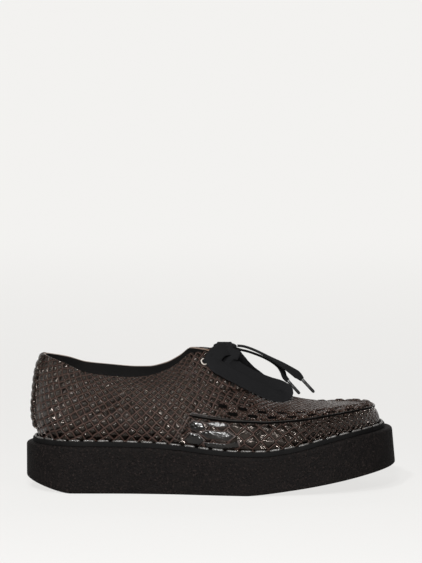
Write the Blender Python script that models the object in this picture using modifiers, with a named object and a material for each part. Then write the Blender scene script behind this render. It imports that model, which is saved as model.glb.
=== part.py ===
# Derby shoe for the right foot: toe along +X, outer side along -Y, standing on its sole.
# The upper is one hollow wall through five rings: foot, cheek, shoulder, crown and edge.
# Lengths are metres. Each table row is one station; its values are shares of named sizes.

import math

import bmesh
import bpy
from mathutils import Matrix, Vector

# Driving dimensions of the last
last_length = 0.283
ball_width = 0.098
upper_height = 0.080
heel_curve = 0.14
toe_curve = 0.22
toe_squareness = 2.25

# Upper
wall = 0.0020
gap = 0.0003
ridge_height = 0.0016
ridge_start = 0.44
ridge_fade = 0.07
inner_collar_rise = 0.0030
collar_end = 0.44

# Sole
heel_ledge = 0.0055
toe_ledge = 0.0090
side_ledge = 0.0075
heel_height = 0.0380
toe_flare = 0.0024
side_flare = 0.0008
toe_spring = 0.0202
spring_length = 0.122
spring_power = 1.25
heel_bevel = 0.0098
bevel_length = 0.036
bevel_power = 1.3
edge_round = 0.0024
tread_round = 0.0014

# Welt and insole
welt_height = 0.0036
welt_width = 0.0052
welt_round = 0.0009
insole_thickness = 0.0040

# Overlays and tongue
overlay = 0.0014
facing_gap = 0.0006
band_start = 0.53
backstay_half_width = 0.0085
facing_back = 0.44
facing_front = 0.650
facing_toe = 0.515
tongue_thickness = 0.0030
tongue_clearance = 0.0010
tongue_top = 0.485
tongue_end = 0.74
tongue_crown = 0.0035

# Laces
eyelet_diameter = 0.0042
eyelet_row = 3.62
upper_eyelet = 0.488
lower_eyelet = 0.580
knot_station = 0.530
lace_width = 0.0080
lace_thickness = 0.0012
lace_tube = 0.0032
upper_bar_lift = 0.0022
lower_bar_lift = 0.0012
knot_length = 0.0150
knot_width = 0.0130
knot_height = 0.0080
aglet_length = 0.0150
aglet_diameter = 0.0026

# Sampling: columns on each side of the shoe, rows up the wall counted in rings
columns = 38
wall_rows = (0.0, 0.5, 1.0, 1.5, 1.88, 2.0, 2.12, 2.45, 2.8, 3.1, 3.4, 3.7, 4.0)
ridge_row = 2.0
band_rows = (2.12, 2.45, 2.8)
facing_rows = (2.8, 3.1, 3.4, 3.7, 4.0)
backstay_rows = (0.5, 1.0, 1.5, 2.0, 2.5, 3.0, 3.5, 4.0)
bar_rows = (3.62, 3.8, 3.96)
tongue_rows = (3.15, 3.45, 3.75)

# Rings of the upper, heel to toe. Columns: station, outer, inner, height.
# Station is a share of last_length, outer and inner of ball_width, height of upper_height.
foot_ring = (
    (0.00, 0.310, 0.310, 0.000),
    (0.12, 0.322, 0.322, 0.000),
    (0.25, 0.325, 0.305, 0.000),
    (0.38, 0.357, 0.290, 0.000),
    (0.48, 0.408, 0.320, 0.000),
    (0.56, 0.449, 0.385, 0.000),
    (0.64, 0.476, 0.455, 0.000),
    (0.74, 0.474, 0.488, 0.000),
    (0.84, 0.440, 0.474, 0.000),
    (0.93, 0.400, 0.448, 0.000),
    (1.00, 0.378, 0.435, 0.000),
)
cheek_ring = (
    (0.00, 0.345, 0.345, 0.260),
    (0.12, 0.362, 0.362, 0.215),
    (0.25, 0.362, 0.342, 0.185),
    (0.38, 0.392, 0.328, 0.172),
    (0.48, 0.440, 0.358, 0.165),
    (0.56, 0.478, 0.420, 0.160),
    (0.64, 0.500, 0.484, 0.150),
    (0.74, 0.496, 0.512, 0.140),
    (0.84, 0.462, 0.496, 0.118),
    (0.93, 0.422, 0.470, 0.100),
    (1.00, 0.400, 0.456, 0.092),
)
shoulder_ring = (
    (0.00, 0.315, 0.315, 0.530),
    (0.12, 0.338, 0.338, 0.445),
    (0.25, 0.346, 0.330, 0.395),
    (0.38, 0.372, 0.328, 0.385),
    (0.48, 0.412, 0.352, 0.367),
    (0.56, 0.424, 0.392, 0.350),
    (0.64, 0.418, 0.424, 0.335),
    (0.74, 0.396, 0.428, 0.298),
    (0.84, 0.356, 0.402, 0.252),
    (0.93, 0.318, 0.372, 0.228),
    (1.00, 0.300, 0.358, 0.215),
)
crown_ring = (
    (0.00, 0.255, 0.255, 0.745),
    (0.12, 0.298, 0.298, 0.620),
    (0.25, 0.322, 0.314, 0.575),
    (0.38, 0.322, 0.310, 0.640),
    (0.45, 0.300, 0.290, 0.720),
    (0.50, 0.282, 0.276, 0.705),
    (0.56, 0.276, 0.272, 0.625),
    (0.62, 0.268, 0.270, 0.530),
    (0.69, 0.252, 0.260, 0.437),
    (0.78, 0.228, 0.244, 0.362),
    (0.88, 0.190, 0.215, 0.303),
    (1.00, 0.160, 0.190, 0.262),
)
edge_ring = (
    (0.000, 0.230, 0.230, 0.890),
    (0.080, 0.252, 0.252, 0.818),
    (0.140, 0.286, 0.286, 0.742),
    (0.200, 0.302, 0.300, 0.710),
    (0.270, 0.306, 0.302, 0.695),
    (0.330, 0.302, 0.296, 0.713),
    (0.380, 0.290, 0.284, 0.775),
    (0.420, 0.268, 0.262, 0.868),
    (0.455, 0.222, 0.216, 0.968),
    (0.500, 0.142, 0.138, 0.978),
    (0.530, 0.108, 0.104, 0.908),
    (0.560, 0.086, 0.082, 0.840),
    (0.620, 0.064, 0.062, 0.715),
    (0.665, 0.040, 0.040, 0.622),
    (0.690, 0.000, 0.000, 0.568),
    (0.760, 0.000, 0.000, 0.470),
    (0.814, 0.000, 0.000, 0.405),
    (0.905, 0.000, 0.000, 0.322),
    (1.000, 0.000, 0.000, 0.290),
)
upper_rings = (foot_ring, cheek_ring, shoulder_ring, crown_ring, edge_ring)

# How far each ring is drawn in at the heel and at the toe, shares of last_length
heel_draw = (0.018, 0.000, 0.003, 0.012, 0.029)
toe_draw = (0.010, 0.005, 0.022, 0.056, 0.098)
draw_reach = 0.30

# How much of the inner side's higher collar each ring takes
collar_take = (0.0, 0.0, 0.0, 0.5, 1.0)

# Top of the sole. Columns: station along the sole, height as a share of heel_height
sole_top_rows = (
    (0.000, 1.000),
    (0.210, 0.990),
    (0.340, 0.968),
    (0.420, 0.925),
    (0.500, 0.855),
    (0.570, 0.822),
    (0.635, 0.820),
    (0.680, 0.862),
    (0.735, 0.940),
    (0.800, 1.075),
    (0.865, 1.185),
    (0.930, 1.265),
    (1.000, 1.310),
)

# Routes of the lace, in metres from the middle of the sole on the floor
near_loop_route = (
    (0.0125, -0.0088, 0.1132),
    (0.0122, -0.0138, 0.1065),
    (0.0142, -0.0172, 0.1002),
    (0.0215, -0.0195, 0.0940),
    (0.0335, -0.0186, 0.0868),
    (0.0455, -0.0163, 0.0800),
    (0.0535, -0.0142, 0.0762),
    (0.0585, -0.0105, 0.0755),
    (0.0600, -0.0075, 0.0782),
    (0.0575, -0.0060, 0.0812),
    (0.0520, -0.0065, 0.0848),
    (0.0440, -0.0085, 0.0880),
    (0.0345, -0.0105, 0.0918),
    (0.0270, -0.0112, 0.0972),
    (0.0220, -0.0094, 0.1045),
    (0.0192, -0.0060, 0.1134),
)
far_loop_route = (
    (0.0120, 0.0078, 0.1134),
    (0.0150, 0.0145, 0.1045),
    (0.0210, 0.0200, 0.0960),
    (0.0285, 0.0242, 0.0888),
    (0.0355, 0.0272, 0.0828),
    (0.0410, 0.0290, 0.0788),
    (0.0455, 0.0288, 0.0768),
    (0.0475, 0.0264, 0.0788),
    (0.0440, 0.0228, 0.0834),
    (0.0375, 0.0190, 0.0892),
    (0.0300, 0.0152, 0.0955),
    (0.0230, 0.0122, 0.1025),
    (0.0178, 0.0088, 0.1105),
)
first_end_route = (
    (0.0214, 0.0000, 0.1152),
    (0.0270, 0.0000, 0.1146),
    (0.0350, 0.0000, 0.1118),
    (0.0455, 0.0000, 0.1067),
    (0.0560, 0.0000, 0.1008),
    (0.0650, 0.0000, 0.0951),
    (0.0710, 0.0000, 0.0908),
    (0.0742, 0.0000, 0.0876),
)
second_end_route = (
    (0.0200, 0.0042, 0.1128),
    (0.0250, 0.0050, 0.1112),
    (0.0310, 0.0060, 0.1096),
    (0.0400, 0.0070, 0.1062),
    (0.0495, 0.0075, 0.1018),
    (0.0553, 0.0076, 0.0978),
    (0.0585, 0.0076, 0.0932),
    (0.0600, 0.0076, 0.0890),
    (0.0628, 0.0076, 0.0856),
)

# Finishes: colour, roughness, metallic
finishes = {
    "black_foam": ((0.016, 0.014, 0.013, 1.0), 0.85, 0.0),
    "welt_black": ((0.010, 0.010, 0.010, 1.0), 0.45, 0.0),
    "lining_black": ((0.020, 0.018, 0.017, 1.0), 0.70, 0.0),
    "scaled_leather": ((0.050, 0.034, 0.026, 1.0), 0.28, 0.0),
    "woven_leather": ((0.036, 0.024, 0.019, 1.0), 0.34, 0.0),
    "lace_black": ((0.008, 0.008, 0.009, 1.0), 0.90, 0.0),
    "aglet_black": ((0.006, 0.006, 0.006, 1.0), 0.30, 0.0),
}

sole_length = last_length + heel_ledge + toe_ledge + toe_flare
outer_side = -1
inner_side = 1


def read_row(rows, column, share):
    # Smooth value of a table's column at a station, with no overshoot between rows
    last = len(rows) - 1
    if share <= rows[0][0]:
        return rows[0][column]
    if share >= rows[last][0]:
        return rows[last][column]
    k = max(i for i in range(last) if rows[i][0] <= share)

    def rise(i):
        return (rows[i + 1][column] - rows[i][column]) / (rows[i + 1][0] - rows[i][0])

    def slope(i):
        if i == 0:
            return rise(0)
        if i == last:
            return rise(last - 1)
        before = rise(i - 1)
        after = rise(i)
        if before * after <= 0:
            return 0.0
        return 2 * before * after / (before + after)

    step = rows[k + 1][0] - rows[k][0]
    t = (share - rows[k][0]) / step
    start = rows[k][column]
    end = rows[k + 1][column]
    return (
        start * (1 + 2 * t) * (1 - t) ** 2
        + slope(k) * step * t * (1 - t) ** 2
        + end * t * t * (3 - 2 * t)
        + slope(k + 1) * step * t * t * (t - 1)
    )


def end_round(share):
    # Share of the half width that is left near the heel's and the toe's round ends
    if share < heel_curve:
        return math.sqrt(max(0.0, 1 - (1 - share / heel_curve) ** 2))
    if share > 1 - toe_curve:
        reach = (share - 1 + toe_curve) / toe_curve
        return max(0.0, 1 - reach ** toe_squareness) ** (1 / toe_squareness)
    return 1.0


def stations():
    # Stations along one side, close together at the heel and the toe
    return [(1 - math.cos(math.pi * i / columns)) / 2 for i in range(columns + 1)]


def side_y(rows, share, side, ledge=0.0):
    # Distance of one side's edge from the last's axis
    outer = ball_width * read_row(rows, 1, share) + ledge
    inner = ball_width * read_row(rows, 2, share) + ledge
    return (inner - outer) / 2 + side * (inner + outer) / 2 * end_round(share)


def sole_middle():
    # Middle of the sole's width, where the origin lies
    outer = [side_y(foot_ring, share, outer_side, side_ledge) for share in stations()]
    inner = [side_y(foot_ring, share, inner_side, side_ledge) for share in stations()]
    return (min(outer) + max(inner)) / 2


def last_x(share):
    return heel_ledge + share * last_length - sole_length / 2


def sole_top(x):
    return heel_height * read_row(sole_top_rows, 1, x / sole_length + 0.5)


def sole_bottom(x):
    # The tread: bevelled at the heel, flat, then sprung at the toe
    from_heel = x + sole_length / 2
    from_toe = sole_length / 2 - x
    if from_heel < bevel_length:
        return heel_bevel * (1 - max(0.0, from_heel) / bevel_length) ** bevel_power
    if from_toe < spring_length:
        return toe_spring * (1 - max(0.0, from_toe) / spring_length) ** spring_power
    return 0.0


def ring_point(ring, share, side):
    # Point of one of the upper's rings
    rows = upper_rings[ring]
    x = last_x(share)
    if share < draw_reach:
        x += heel_draw[ring] * last_length * (1 - share / draw_reach) ** 2
    if share > 1 - draw_reach:
        x -= toe_draw[ring] * last_length * ((share - 1 + draw_reach) / draw_reach) ** 2
    y = side_y(rows, share, side) - middle
    z = sole_top(x) + gap + upper_height * read_row(rows, 3, share)
    if side == inner_side and share < collar_end:
        z += inner_collar_rise * collar_take[ring] * math.sin(math.pi * share / collar_end) ** 2
    return Vector((x, y, z))


def wall_point(share, side, row):
    # Point of the upper's outer face: a smooth curve through the five rings
    top = len(upper_rings) - 1
    k = min(int(row), top - 1)
    t = row - k
    points = [ring_point(i, share, side) for i in range(len(upper_rings))]
    before = points[k - 1] if k > 0 else 2 * points[0] - points[1]
    after = points[k + 2] if k + 2 <= top else 2 * points[top] - points[top - 1]
    a = points[k]
    b = points[k + 1]
    from_a = (b - before) * 0.5
    from_b = (after - a) * 0.5
    return (
        a * ((1 + 2 * t) * (1 - t) ** 2)
        + from_a * (t * (1 - t) ** 2)
        + b * (t * t * (3 - 2 * t))
        + from_b * (t * t * (t - 1))
    )


def wall_normal(share, side, row):
    # Outward direction of the upper's wall
    step = 0.004
    along = min(max(share, 2 * step), 1 - 2 * step)
    up = min(max(row, 0.02), 3.98)
    run = wall_point(along + step, side, up) - wall_point(along - step, side, up)
    rise = wall_point(along, side, up + 0.02) - wall_point(along, side, up - 0.02)
    return (run.cross(rise) * -side).normalized()


def ridge_lift(share, row):
    # The raised seam round the vamp stands proud of the wall, and fades out at the quarters
    if row != ridge_row:
        return 0.0
    t = min(max((share - ridge_start) / ridge_fade, 0.0), 1.0)
    return ridge_height * t * t * (3 - 2 * t)


def around(point_at):
    # Points right round the shoe: outer side heel to toe, then inner side back
    shares = stations()
    outer = [point_at(share, outer_side) for share in shares]
    inner = [point_at(share, inner_side) for share in reversed(shares[1:-1])]
    return outer + inner


def grown(ring, distance):
    # Ring moved outward in plan, square to its own run
    count = len(ring)
    result = []
    for i in range(count):
        run = ring[(i + 1) % count] - ring[i - 1]
        out = Vector((run.y, -run.x, 0.0)).normalized()
        result.append(ring[i] + out * distance)
    return result


def at_height(ring, height_at):
    return [Vector((p.x, p.y, height_at(p.x))) for p in ring]


def make_object(name, vertices, faces, finish):
    mesh = bpy.data.meshes.new(name)
    mesh.from_pydata([tuple(v) for v in vertices], [], faces)
    mesh.update()
    built = bpy.data.objects.new(name, mesh)
    shoe.objects.link(built)
    built.data.materials.append(materials[finish])
    return built


def merged(built, distance=0.000002):
    # Joins points that lie on each other
    work = bmesh.new()
    work.from_mesh(built.data)
    bmesh.ops.remove_doubles(work, verts=work.verts, dist=distance)
    work.to_mesh(built.data)
    work.free()
    return built


def smooth(built, angle=40):
    built.data.shade_smooth()
    built.data.set_sharp_from_angle(angle=math.radians(angle))
    return built


def loft(name, rings, finish, cap=True, closed=False):
    # Walls between rings that run round the shoe, with both ends capped or the last joined to the first
    count = len(rings[0])
    half = count // 2
    vertices = [p for ring in rings for p in ring]
    faces = []
    levels = len(rings)
    spans = levels if closed else levels - 1
    for j in range(spans):
        low = j * count
        high = ((j + 1) % levels) * count
        for i in range(count):
            k = (i + 1) % count
            faces.append((low + i, low + k, high + k, high + i))
    if cap:
        top = (levels - 1) * count
        for i in range(half):
            corners = [i, i + 1, count - i - 1, (count - i) % count]
            corners = list(dict.fromkeys(corners))
            faces.append([top + c for c in corners])
            faces.append(list(reversed(corners)))
    return make_object(name, vertices, faces, finish)


def shell(name, grid, finish, thickness, offset, loop=False):
    # Open surface from a grid of points, given its thickness by Solidify
    count = len(grid[0])
    vertices = [p for row in grid for p in row]
    faces = []
    for j in range(len(grid) - 1):
        for i in range(count if loop else count - 1):
            k = (i + 1) % count
            faces.append((j * count + i, j * count + k, (j + 1) * count + k, (j + 1) * count + i))
    built = merged(make_object(name, vertices, faces, finish))
    solid = built.modifiers.new("Thickness", "SOLIDIFY")
    solid.thickness = thickness
    solid.offset = offset
    solid.use_quality_normals = True
    return smooth(built)


def sole_outline(share, side, flare=0.0):
    # Edge of the sole in plan; flare is how far the tread stands out, from none at the heel
    x = share * (sole_length - toe_flare) - sole_length / 2
    y = side_y(foot_ring, share, side, side_ledge) - middle
    x += flare * toe_flare * share * share
    y += side * flare * side_flare * end_round(share)
    return Vector((x, y, 0.0))


def make_outsole():
    # Foam sole: flat tread with heel bevel and toe spring, flared side, rounded edges
    plan = around(sole_outline)
    waist = around(lambda share, side: sole_outline(share, side, 0.5))
    foot = around(lambda share, side: sole_outline(share, side, 1.0))
    rings = [
        at_height(grown(foot, -tread_round), sole_bottom),
        at_height(foot, lambda x: sole_bottom(x) + tread_round),
        at_height(waist, lambda x: (sole_bottom(x) + sole_top(x)) / 2),
        at_height(plan, lambda x: sole_top(x) - edge_round),
        at_height(grown(plan, -edge_round * 0.3), lambda x: sole_top(x) - edge_round * 0.3),
        at_height(grown(plan, -edge_round), sole_top),
    ]
    return smooth(loft("outsole", rings, "black_foam"))


def make_upper():
    grid = []
    for row in wall_rows:
        def lifted(share, side):
            point = wall_point(share, side, row)
            lift = ridge_lift(share, row)
            if lift > 0:
                point = point + wall_normal(share, side, row) * lift
            return point
        grid.append(around(lifted))
    return shell("upper", grid, "scaled_leather", wall, -1.0, loop=True)


def wall_at_height(share, side, height):
    # The wall's outer face at a height above its foot
    foot = wall_point(share, side, 0.0)
    cheek = wall_point(share, side, 1.0)
    row = min(height / (cheek.z - foot.z), 1.0)
    point = wall_point(share, side, row)
    return Vector((point.x, point.y, 0.0))


def make_welt():
    # Strip on the sole round the foot of the upper
    foot = grown(around(lambda share, side: wall_at_height(share, side, 0.0)), gap)
    cheek = grown(around(lambda share, side: wall_at_height(share, side, welt_height)), gap * 2)
    outer = grown(foot, welt_width)
    low = lambda x: sole_top(x) + gap
    high = lambda x: sole_top(x) + gap + welt_height
    rings = [
        at_height(outer, low),
        at_height(outer, lambda x: high(x) - welt_round),
        at_height(grown(outer, -welt_round), high),
        at_height(cheek, high),
        at_height(foot, low),
    ]
    return smooth(loft("welt", rings, "welt_black", cap=False, closed=True))


def make_insole():
    # Board and sock that close the upper's bottom
    foot = around(lambda share, side: wall_at_height(share, side, 0.0))
    edge = grown(foot, -wall - 2 * gap)
    seat = 2 * gap
    rings = [
        at_height(edge, lambda x: sole_top(x) + seat),
        at_height(edge, lambda x: sole_top(x) + seat + insole_thickness * 0.8),
        at_height(grown(edge, -insole_thickness * 0.4), lambda x: sole_top(x) + seat + insole_thickness),
    ]
    return smooth(loft("insole", rings, "lining_black"))


def lifted_point(share, side, row, lift):
    return wall_point(share, side, row) + wall_normal(share, side, row) * lift


def make_band():
    # Band of interlaced strips that lies inside the raised seam, from one quarter round the toe
    shares = [share for share in stations() if share >= band_start]
    grid = []
    for row in band_rows:
        outer = [lifted_point(share, outer_side, row, gap) for share in shares]
        inner = [lifted_point(share, inner_side, row, gap) for share in reversed(shares[:-1])]
        grid.append(outer + inner)
    return shell("woven_band", grid, "woven_leather", overlay, 1.0)


def make_backstay():
    # Strip up the middle of the heel, from the welt to the collar
    grid = []
    for row in backstay_rows:
        line = []
        for side in (outer_side, inner_side):
            shares = backstay_shares(side, row)
            line.append([lifted_point(share, side, row, gap) for share in shares])
        grid.append(list(reversed(line[1]))[:-1] + line[0])
    return shell("backstay", grid, "scaled_leather", overlay, 1.0)


def backstay_shares(side, row):
    # Stations from the heel's middle out to the strip's edge
    middle = wall_point(0.0, side, row)
    shares = [0.0]
    for share in stations()[1:]:
        shares.append(share)
        if abs(wall_point(share, side, row).y - middle.y) >= backstay_half_width:
            break
    reach = abs(wall_point(shares[-1], side, row).y - middle.y)
    inside = abs(wall_point(shares[-2], side, row).y - middle.y)
    t = (backstay_half_width - inside) / (reach - inside)
    shares[-1] = shares[-2] + (shares[-1] - shares[-2]) * t
    return [shares[-1] * k / 4 for k in range(5)]


def make_facing(name, side):
    # Lace flap along the throat, laid on the quarter, its front edge swept back down the side
    shares = [share for share in stations() if facing_back <= share < facing_front] + [facing_front]
    grid = []
    for row in facing_rows:
        t = (row - facing_rows[0]) / (facing_rows[-1] - facing_rows[0])
        front = facing_toe + (facing_front - facing_toe) * t * (2 - t)
        line = [lifted_point(min(share, front), side, row, facing_gap) for share in shares]
        grid.append(line if side == outer_side else list(reversed(line)))
    return shell(name, grid, "scaled_leather", overlay, 1.0)


def make_tongue():
    # Tongue under the facings, from above the lowest bar down under the vamp
    shares = [share for share in stations() if tongue_top <= share <= tongue_end]
    drop = -(wall + tongue_clearance)
    grid = []
    for share in shares:
        outer = [lifted_point(share, outer_side, row, drop) for row in tongue_rows]
        inner = [lifted_point(share, inner_side, row, drop) for row in reversed(tongue_rows)]
        middle = (outer[-1] + inner[0]) / 2
        width = (outer[-1] - inner[0]).length
        middle.z += tongue_crown * min(width / (0.3 * ball_width), 1.0)
        grid.append(outer + [middle] + inner)
    return shell("tongue", list(reversed(grid)), "scaled_leather", tongue_thickness, -1.0)


def ribbon(name, points, normals, width, thickness, finish):
    # Flat strip along points, its width square to its run
    vertices = []
    for i, point in enumerate(points):
        run = (points[min(i + 1, len(points) - 1)] - points[max(i - 1, 0)]).normalized()
        across = normals[i].cross(run).normalized() * (width / 2)
        up = normals[i].normalized() * (thickness / 2)
        vertices += [point - across - up, point + across - up, point + across + up, point - across + up]
    faces = [(3, 2, 1, 0)]
    for i in range(len(points) - 1):
        low = 4 * i
        high = low + 4
        for k in range(4):
            n = (k + 1) % 4
            faces.append((low + k, low + n, high + n, high + k))
    end = 4 * (len(points) - 1)
    faces.append((end, end + 1, end + 2, end + 3))
    return smooth(make_object(name, vertices, faces, finish), 30)


def bar_line(share, middle_share, bar_lift):
    # Run of a lace from one eyelet over the facings to the other, and the outward direction along it
    lift = facing_gap + overlay + lace_thickness / 2 + bar_lift
    points = []
    normals = []
    for side, rows in ((outer_side, bar_rows), (inner_side, tuple(reversed(bar_rows)))):
        for row in rows:
            t = (row - bar_rows[0]) / (wall_rows[-1] - bar_rows[0])
            along = share + (middle_share - share) * t
            points.append(lifted_point(along, side, row, lift))
            normals.append(wall_normal(along, side, row))
    middle = (points[2] + points[3]) / 2
    middle.z += lace_thickness
    points.insert(3, middle)
    normals.insert(3, (normals[2] + normals[3]).normalized())
    return points, normals


def make_bar(name, share, middle_share, bar_lift):
    points, normals = bar_line(share, middle_share, bar_lift)
    return ribbon(name, points, normals, lace_width, lace_thickness, "lace_black")


def cut_eyelets(target):
    # Punched holes through a wall that the lace runs through
    for side, word in ((outer_side, "outer"), (inner_side, "inner")):
        for share in (upper_eyelet, lower_eyelet):
            name = "eyelet_cutter_%s_%d" % (word, round(share * 1000))
            cutter = bpy.data.objects.get(name)
            if cutter is None:
                cutter = eyelet_cutter(name, share, side)
            cut = target.modifiers.new(name, "BOOLEAN")
            cut.operation = "DIFFERENCE"
            cut.object = cutter


def eyelet_cutter(name, share, side):
    mesh = bpy.data.meshes.new(name)
    work = bmesh.new()
    radius = eyelet_diameter / 2
    depth = 4 * (wall + overlay)
    bmesh.ops.create_cone(
        work, cap_ends=True, segments=12, radius1=radius, radius2=radius, depth=depth
    )
    normal = wall_normal(share, side, eyelet_row)
    turn = normal.to_track_quat("Z", "Y").to_matrix().to_4x4()
    place = Matrix.Translation(wall_point(share, side, eyelet_row)) @ turn
    bmesh.ops.transform(work, matrix=place, verts=work.verts)
    work.to_mesh(mesh)
    work.free()
    cutter = bpy.data.objects.new(name, mesh)
    cutters.objects.link(cutter)
    cutter.hide_render = True
    cutter.display_type = "WIRE"
    return cutter


def smooth_route(route, spacing):
    # Evenly spaced points on a smooth curve through a route
    points = [Vector(p) for p in route]
    fine = []
    for i in range(len(points) - 1):
        a = points[max(i - 1, 0)]
        b = points[i]
        c = points[i + 1]
        d = points[min(i + 2, len(points) - 1)]
        for k in range(12):
            t = k / 12
            fine.append(
                0.5 * (2 * b + (c - a) * t + (2 * a - 5 * b + 4 * c - d) * t ** 2
                       + (3 * b - a - 3 * c + d) * t ** 3)
            )
    fine.append(points[-1])
    length = sum((fine[i + 1] - fine[i]).length for i in range(len(fine) - 1))
    count = max(2, round(length / spacing))
    result = [fine[0]]
    walked = 0.0
    for i in range(len(fine) - 1):
        span = (fine[i + 1] - fine[i]).length
        while len(result) < count and walked + span >= len(result) * length / count:
            t = (len(result) * length / count - walked) / span
            result.append(fine[i].lerp(fine[i + 1], t))
        walked += span
    result.append(fine[-1])
    return result


def tube(name, route, diameter, finish):
    line = bpy.data.curves.new(name, "CURVE")
    line.dimensions = "3D"
    line.bevel_depth = diameter / 2
    line.bevel_resolution = 2
    line.use_fill_caps = True
    points = smooth_route(route, diameter * 2.2)
    spline = line.splines.new("POLY")
    spline.points.add(len(points) - 1)
    for target, point in zip(spline.points, points):
        target.co = (point.x, point.y, point.z, 1.0)
    built = bpy.data.objects.new(name, line)
    shoe.objects.link(built)
    line.materials.append(materials[finish])
    return built


def make_aglet(name, route):
    # Hard tip of a lace, a plain rod in line with the lace's end
    points = smooth_route(route, lace_tube * 2.2)
    run = (points[-1] - points[-2]).normalized()
    start = points[-1] + run * gap
    return tube(name, (start, start + run * aglet_length), aglet_diameter, "aglet_black")


def make_knot():
    mesh = bpy.data.meshes.new("lace_knot")
    work = bmesh.new()
    bmesh.ops.create_uvsphere(work, u_segments=14, v_segments=8, radius=0.5)
    size = Matrix.Diagonal((knot_length, knot_width, knot_height, 1.0))
    seat = bar_line(upper_eyelet, knot_station, upper_bar_lift)[0][3]
    rest = seat.z + lace_thickness + gap + knot_height / 2
    place = Matrix.Translation(Vector((seat.x + lace_width * 0.75, 0.0, rest)))
    bmesh.ops.transform(work, matrix=place @ size, verts=work.verts)
    work.to_mesh(mesh)
    work.free()
    knot = bpy.data.objects.new("lace_knot", mesh)
    shoe.objects.link(knot)
    mesh.materials.append(materials["lace_black"])
    return smooth(knot)


def make_material(name, colour, roughness, metallic):
    made = bpy.data.materials.new(name)
    made.use_nodes = True
    shader = made.node_tree.nodes["Principled BSDF"]
    shader.inputs["Base Color"].default_value = colour
    shader.inputs["Roughness"].default_value = roughness
    shader.inputs["Metallic"].default_value = metallic
    return made


for old in list(bpy.data.objects):
    bpy.data.objects.remove(old, do_unlink=True)

shoe = bpy.data.collections.new("derby_shoe")
cutters = bpy.data.collections.new("cutters")
bpy.context.scene.collection.children.link(shoe)
bpy.context.scene.collection.children.link(cutters)
materials = {name: make_material(name, *finish) for name, finish in finishes.items()}
middle = sole_middle()

make_outsole()
make_welt()
make_insole()
upper = make_upper()
make_band()
make_backstay()
outer_facing = make_facing("facing_outer", outer_side)
inner_facing = make_facing("facing_inner", inner_side)
for wall_piece in (upper, outer_facing, inner_facing):
    cut_eyelets(wall_piece)
make_tongue()
make_bar("lace_bar_upper", upper_eyelet, knot_station, upper_bar_lift)
make_bar("lace_bar_lower", lower_eyelet, lower_eyelet, lower_bar_lift)
make_knot()
tube("lace_loop_near", near_loop_route, lace_tube, "lace_black")
tube("lace_loop_far", far_loop_route, lace_tube, "lace_black")
tube("lace_end_first", first_end_route, lace_tube, "lace_black")
tube("lace_end_second", second_end_route, lace_tube, "lace_black")
make_aglet("aglet_first", first_end_route)
make_aglet("aglet_second", second_end_route)
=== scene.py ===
# Right derby shoe on a pale studio floor: scaled leather, woven band, foam sole, flat black lace
import math

import bmesh
import bpy
import numpy as np
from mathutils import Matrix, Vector


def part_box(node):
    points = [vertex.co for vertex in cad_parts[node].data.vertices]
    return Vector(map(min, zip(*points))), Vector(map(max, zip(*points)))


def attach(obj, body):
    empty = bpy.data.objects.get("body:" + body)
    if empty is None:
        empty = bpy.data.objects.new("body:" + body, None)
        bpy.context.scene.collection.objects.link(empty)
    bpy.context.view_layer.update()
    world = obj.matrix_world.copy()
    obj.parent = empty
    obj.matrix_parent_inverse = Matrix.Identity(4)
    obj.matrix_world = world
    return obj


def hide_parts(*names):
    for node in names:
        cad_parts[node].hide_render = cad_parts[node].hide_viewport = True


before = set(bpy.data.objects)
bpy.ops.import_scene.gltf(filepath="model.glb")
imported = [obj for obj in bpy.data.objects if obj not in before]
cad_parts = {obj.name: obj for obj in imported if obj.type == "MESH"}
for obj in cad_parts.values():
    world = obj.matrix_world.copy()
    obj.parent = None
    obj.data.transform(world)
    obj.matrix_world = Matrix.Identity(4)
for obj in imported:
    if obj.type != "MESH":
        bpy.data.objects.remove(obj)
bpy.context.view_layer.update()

scene = bpy.context.scene
scene.view_settings.view_transform = "Standard"
outerSide = -1
innerSide = 1
tau = math.pi * 2

# Photograph: 422 x 563, seen square to the outer side from a little above
view = {
    "mmPerPixel": 0.811,
    "imageHeight": 563,
    "floorRow": 487.4,
    "elevation": 4.8,
    "distance": 2.4,
    "sensor": 36.0,
}

# Camera
frameHeight = view["imageHeight"] * view["mmPerPixel"] / 1000
tilt = math.radians(view["elevation"])
aimHeight = (view["floorRow"] - view["imageHeight"] / 2) * view["mmPerPixel"] / 1000 / math.cos(tilt)
cameraData = bpy.data.cameras.new("studioCamera")
cameraData.sensor_width = view["sensor"]
cameraData.lens = view["sensor"] * view["distance"] / frameHeight
cameraData.clip_start = 0.05
cameraData.clip_end = 50
camera = bpy.data.objects.new("studioCamera", cameraData)
scene.collection.objects.link(camera)
back = Vector((0, -math.cos(tilt), math.sin(tilt)))
camera.location = Vector((0, 0, aimHeight)) + back * view["distance"]
camera.rotation_euler = (-back).to_track_quat("-Z", "Y").to_euler()
scene.camera = camera
print("camera ready")


# ---------- mesh helpers

def linkMesh(name, points, faces, material, smoothAngle=50):
    mesh = bpy.data.meshes.new(name)
    mesh.from_pydata([tuple(map(float, p)) for p in points], [], [tuple(map(int, f)) for f in faces])
    mesh.update()
    piece = bpy.data.objects.new(name, mesh)
    scene.collection.objects.link(piece)
    mesh.materials.append(material)
    mesh.shade_smooth()
    if smoothAngle:
        mesh.set_sharp_from_angle(angle=math.radians(smoothAngle))
    return piece


def gridFaces(rowCount, columnCount, closed=False):
    # quads of a grid of points listed row by row
    faces = []
    for j in range(rowCount - 1):
        for i in range(columnCount if closed else columnCount - 1):
            k = (i + 1) % columnCount
            faces.append((j * columnCount + i, j * columnCount + k,
                          (j + 1) * columnCount + k, (j + 1) * columnCount + i))
    return faces


def weld(piece, distance=0.00002):
    work = bmesh.new()
    work.from_mesh(piece.data)
    bmesh.ops.remove_doubles(work, verts=work.verts, dist=distance)
    work.to_mesh(piece.data)
    work.free()
    return piece


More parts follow.
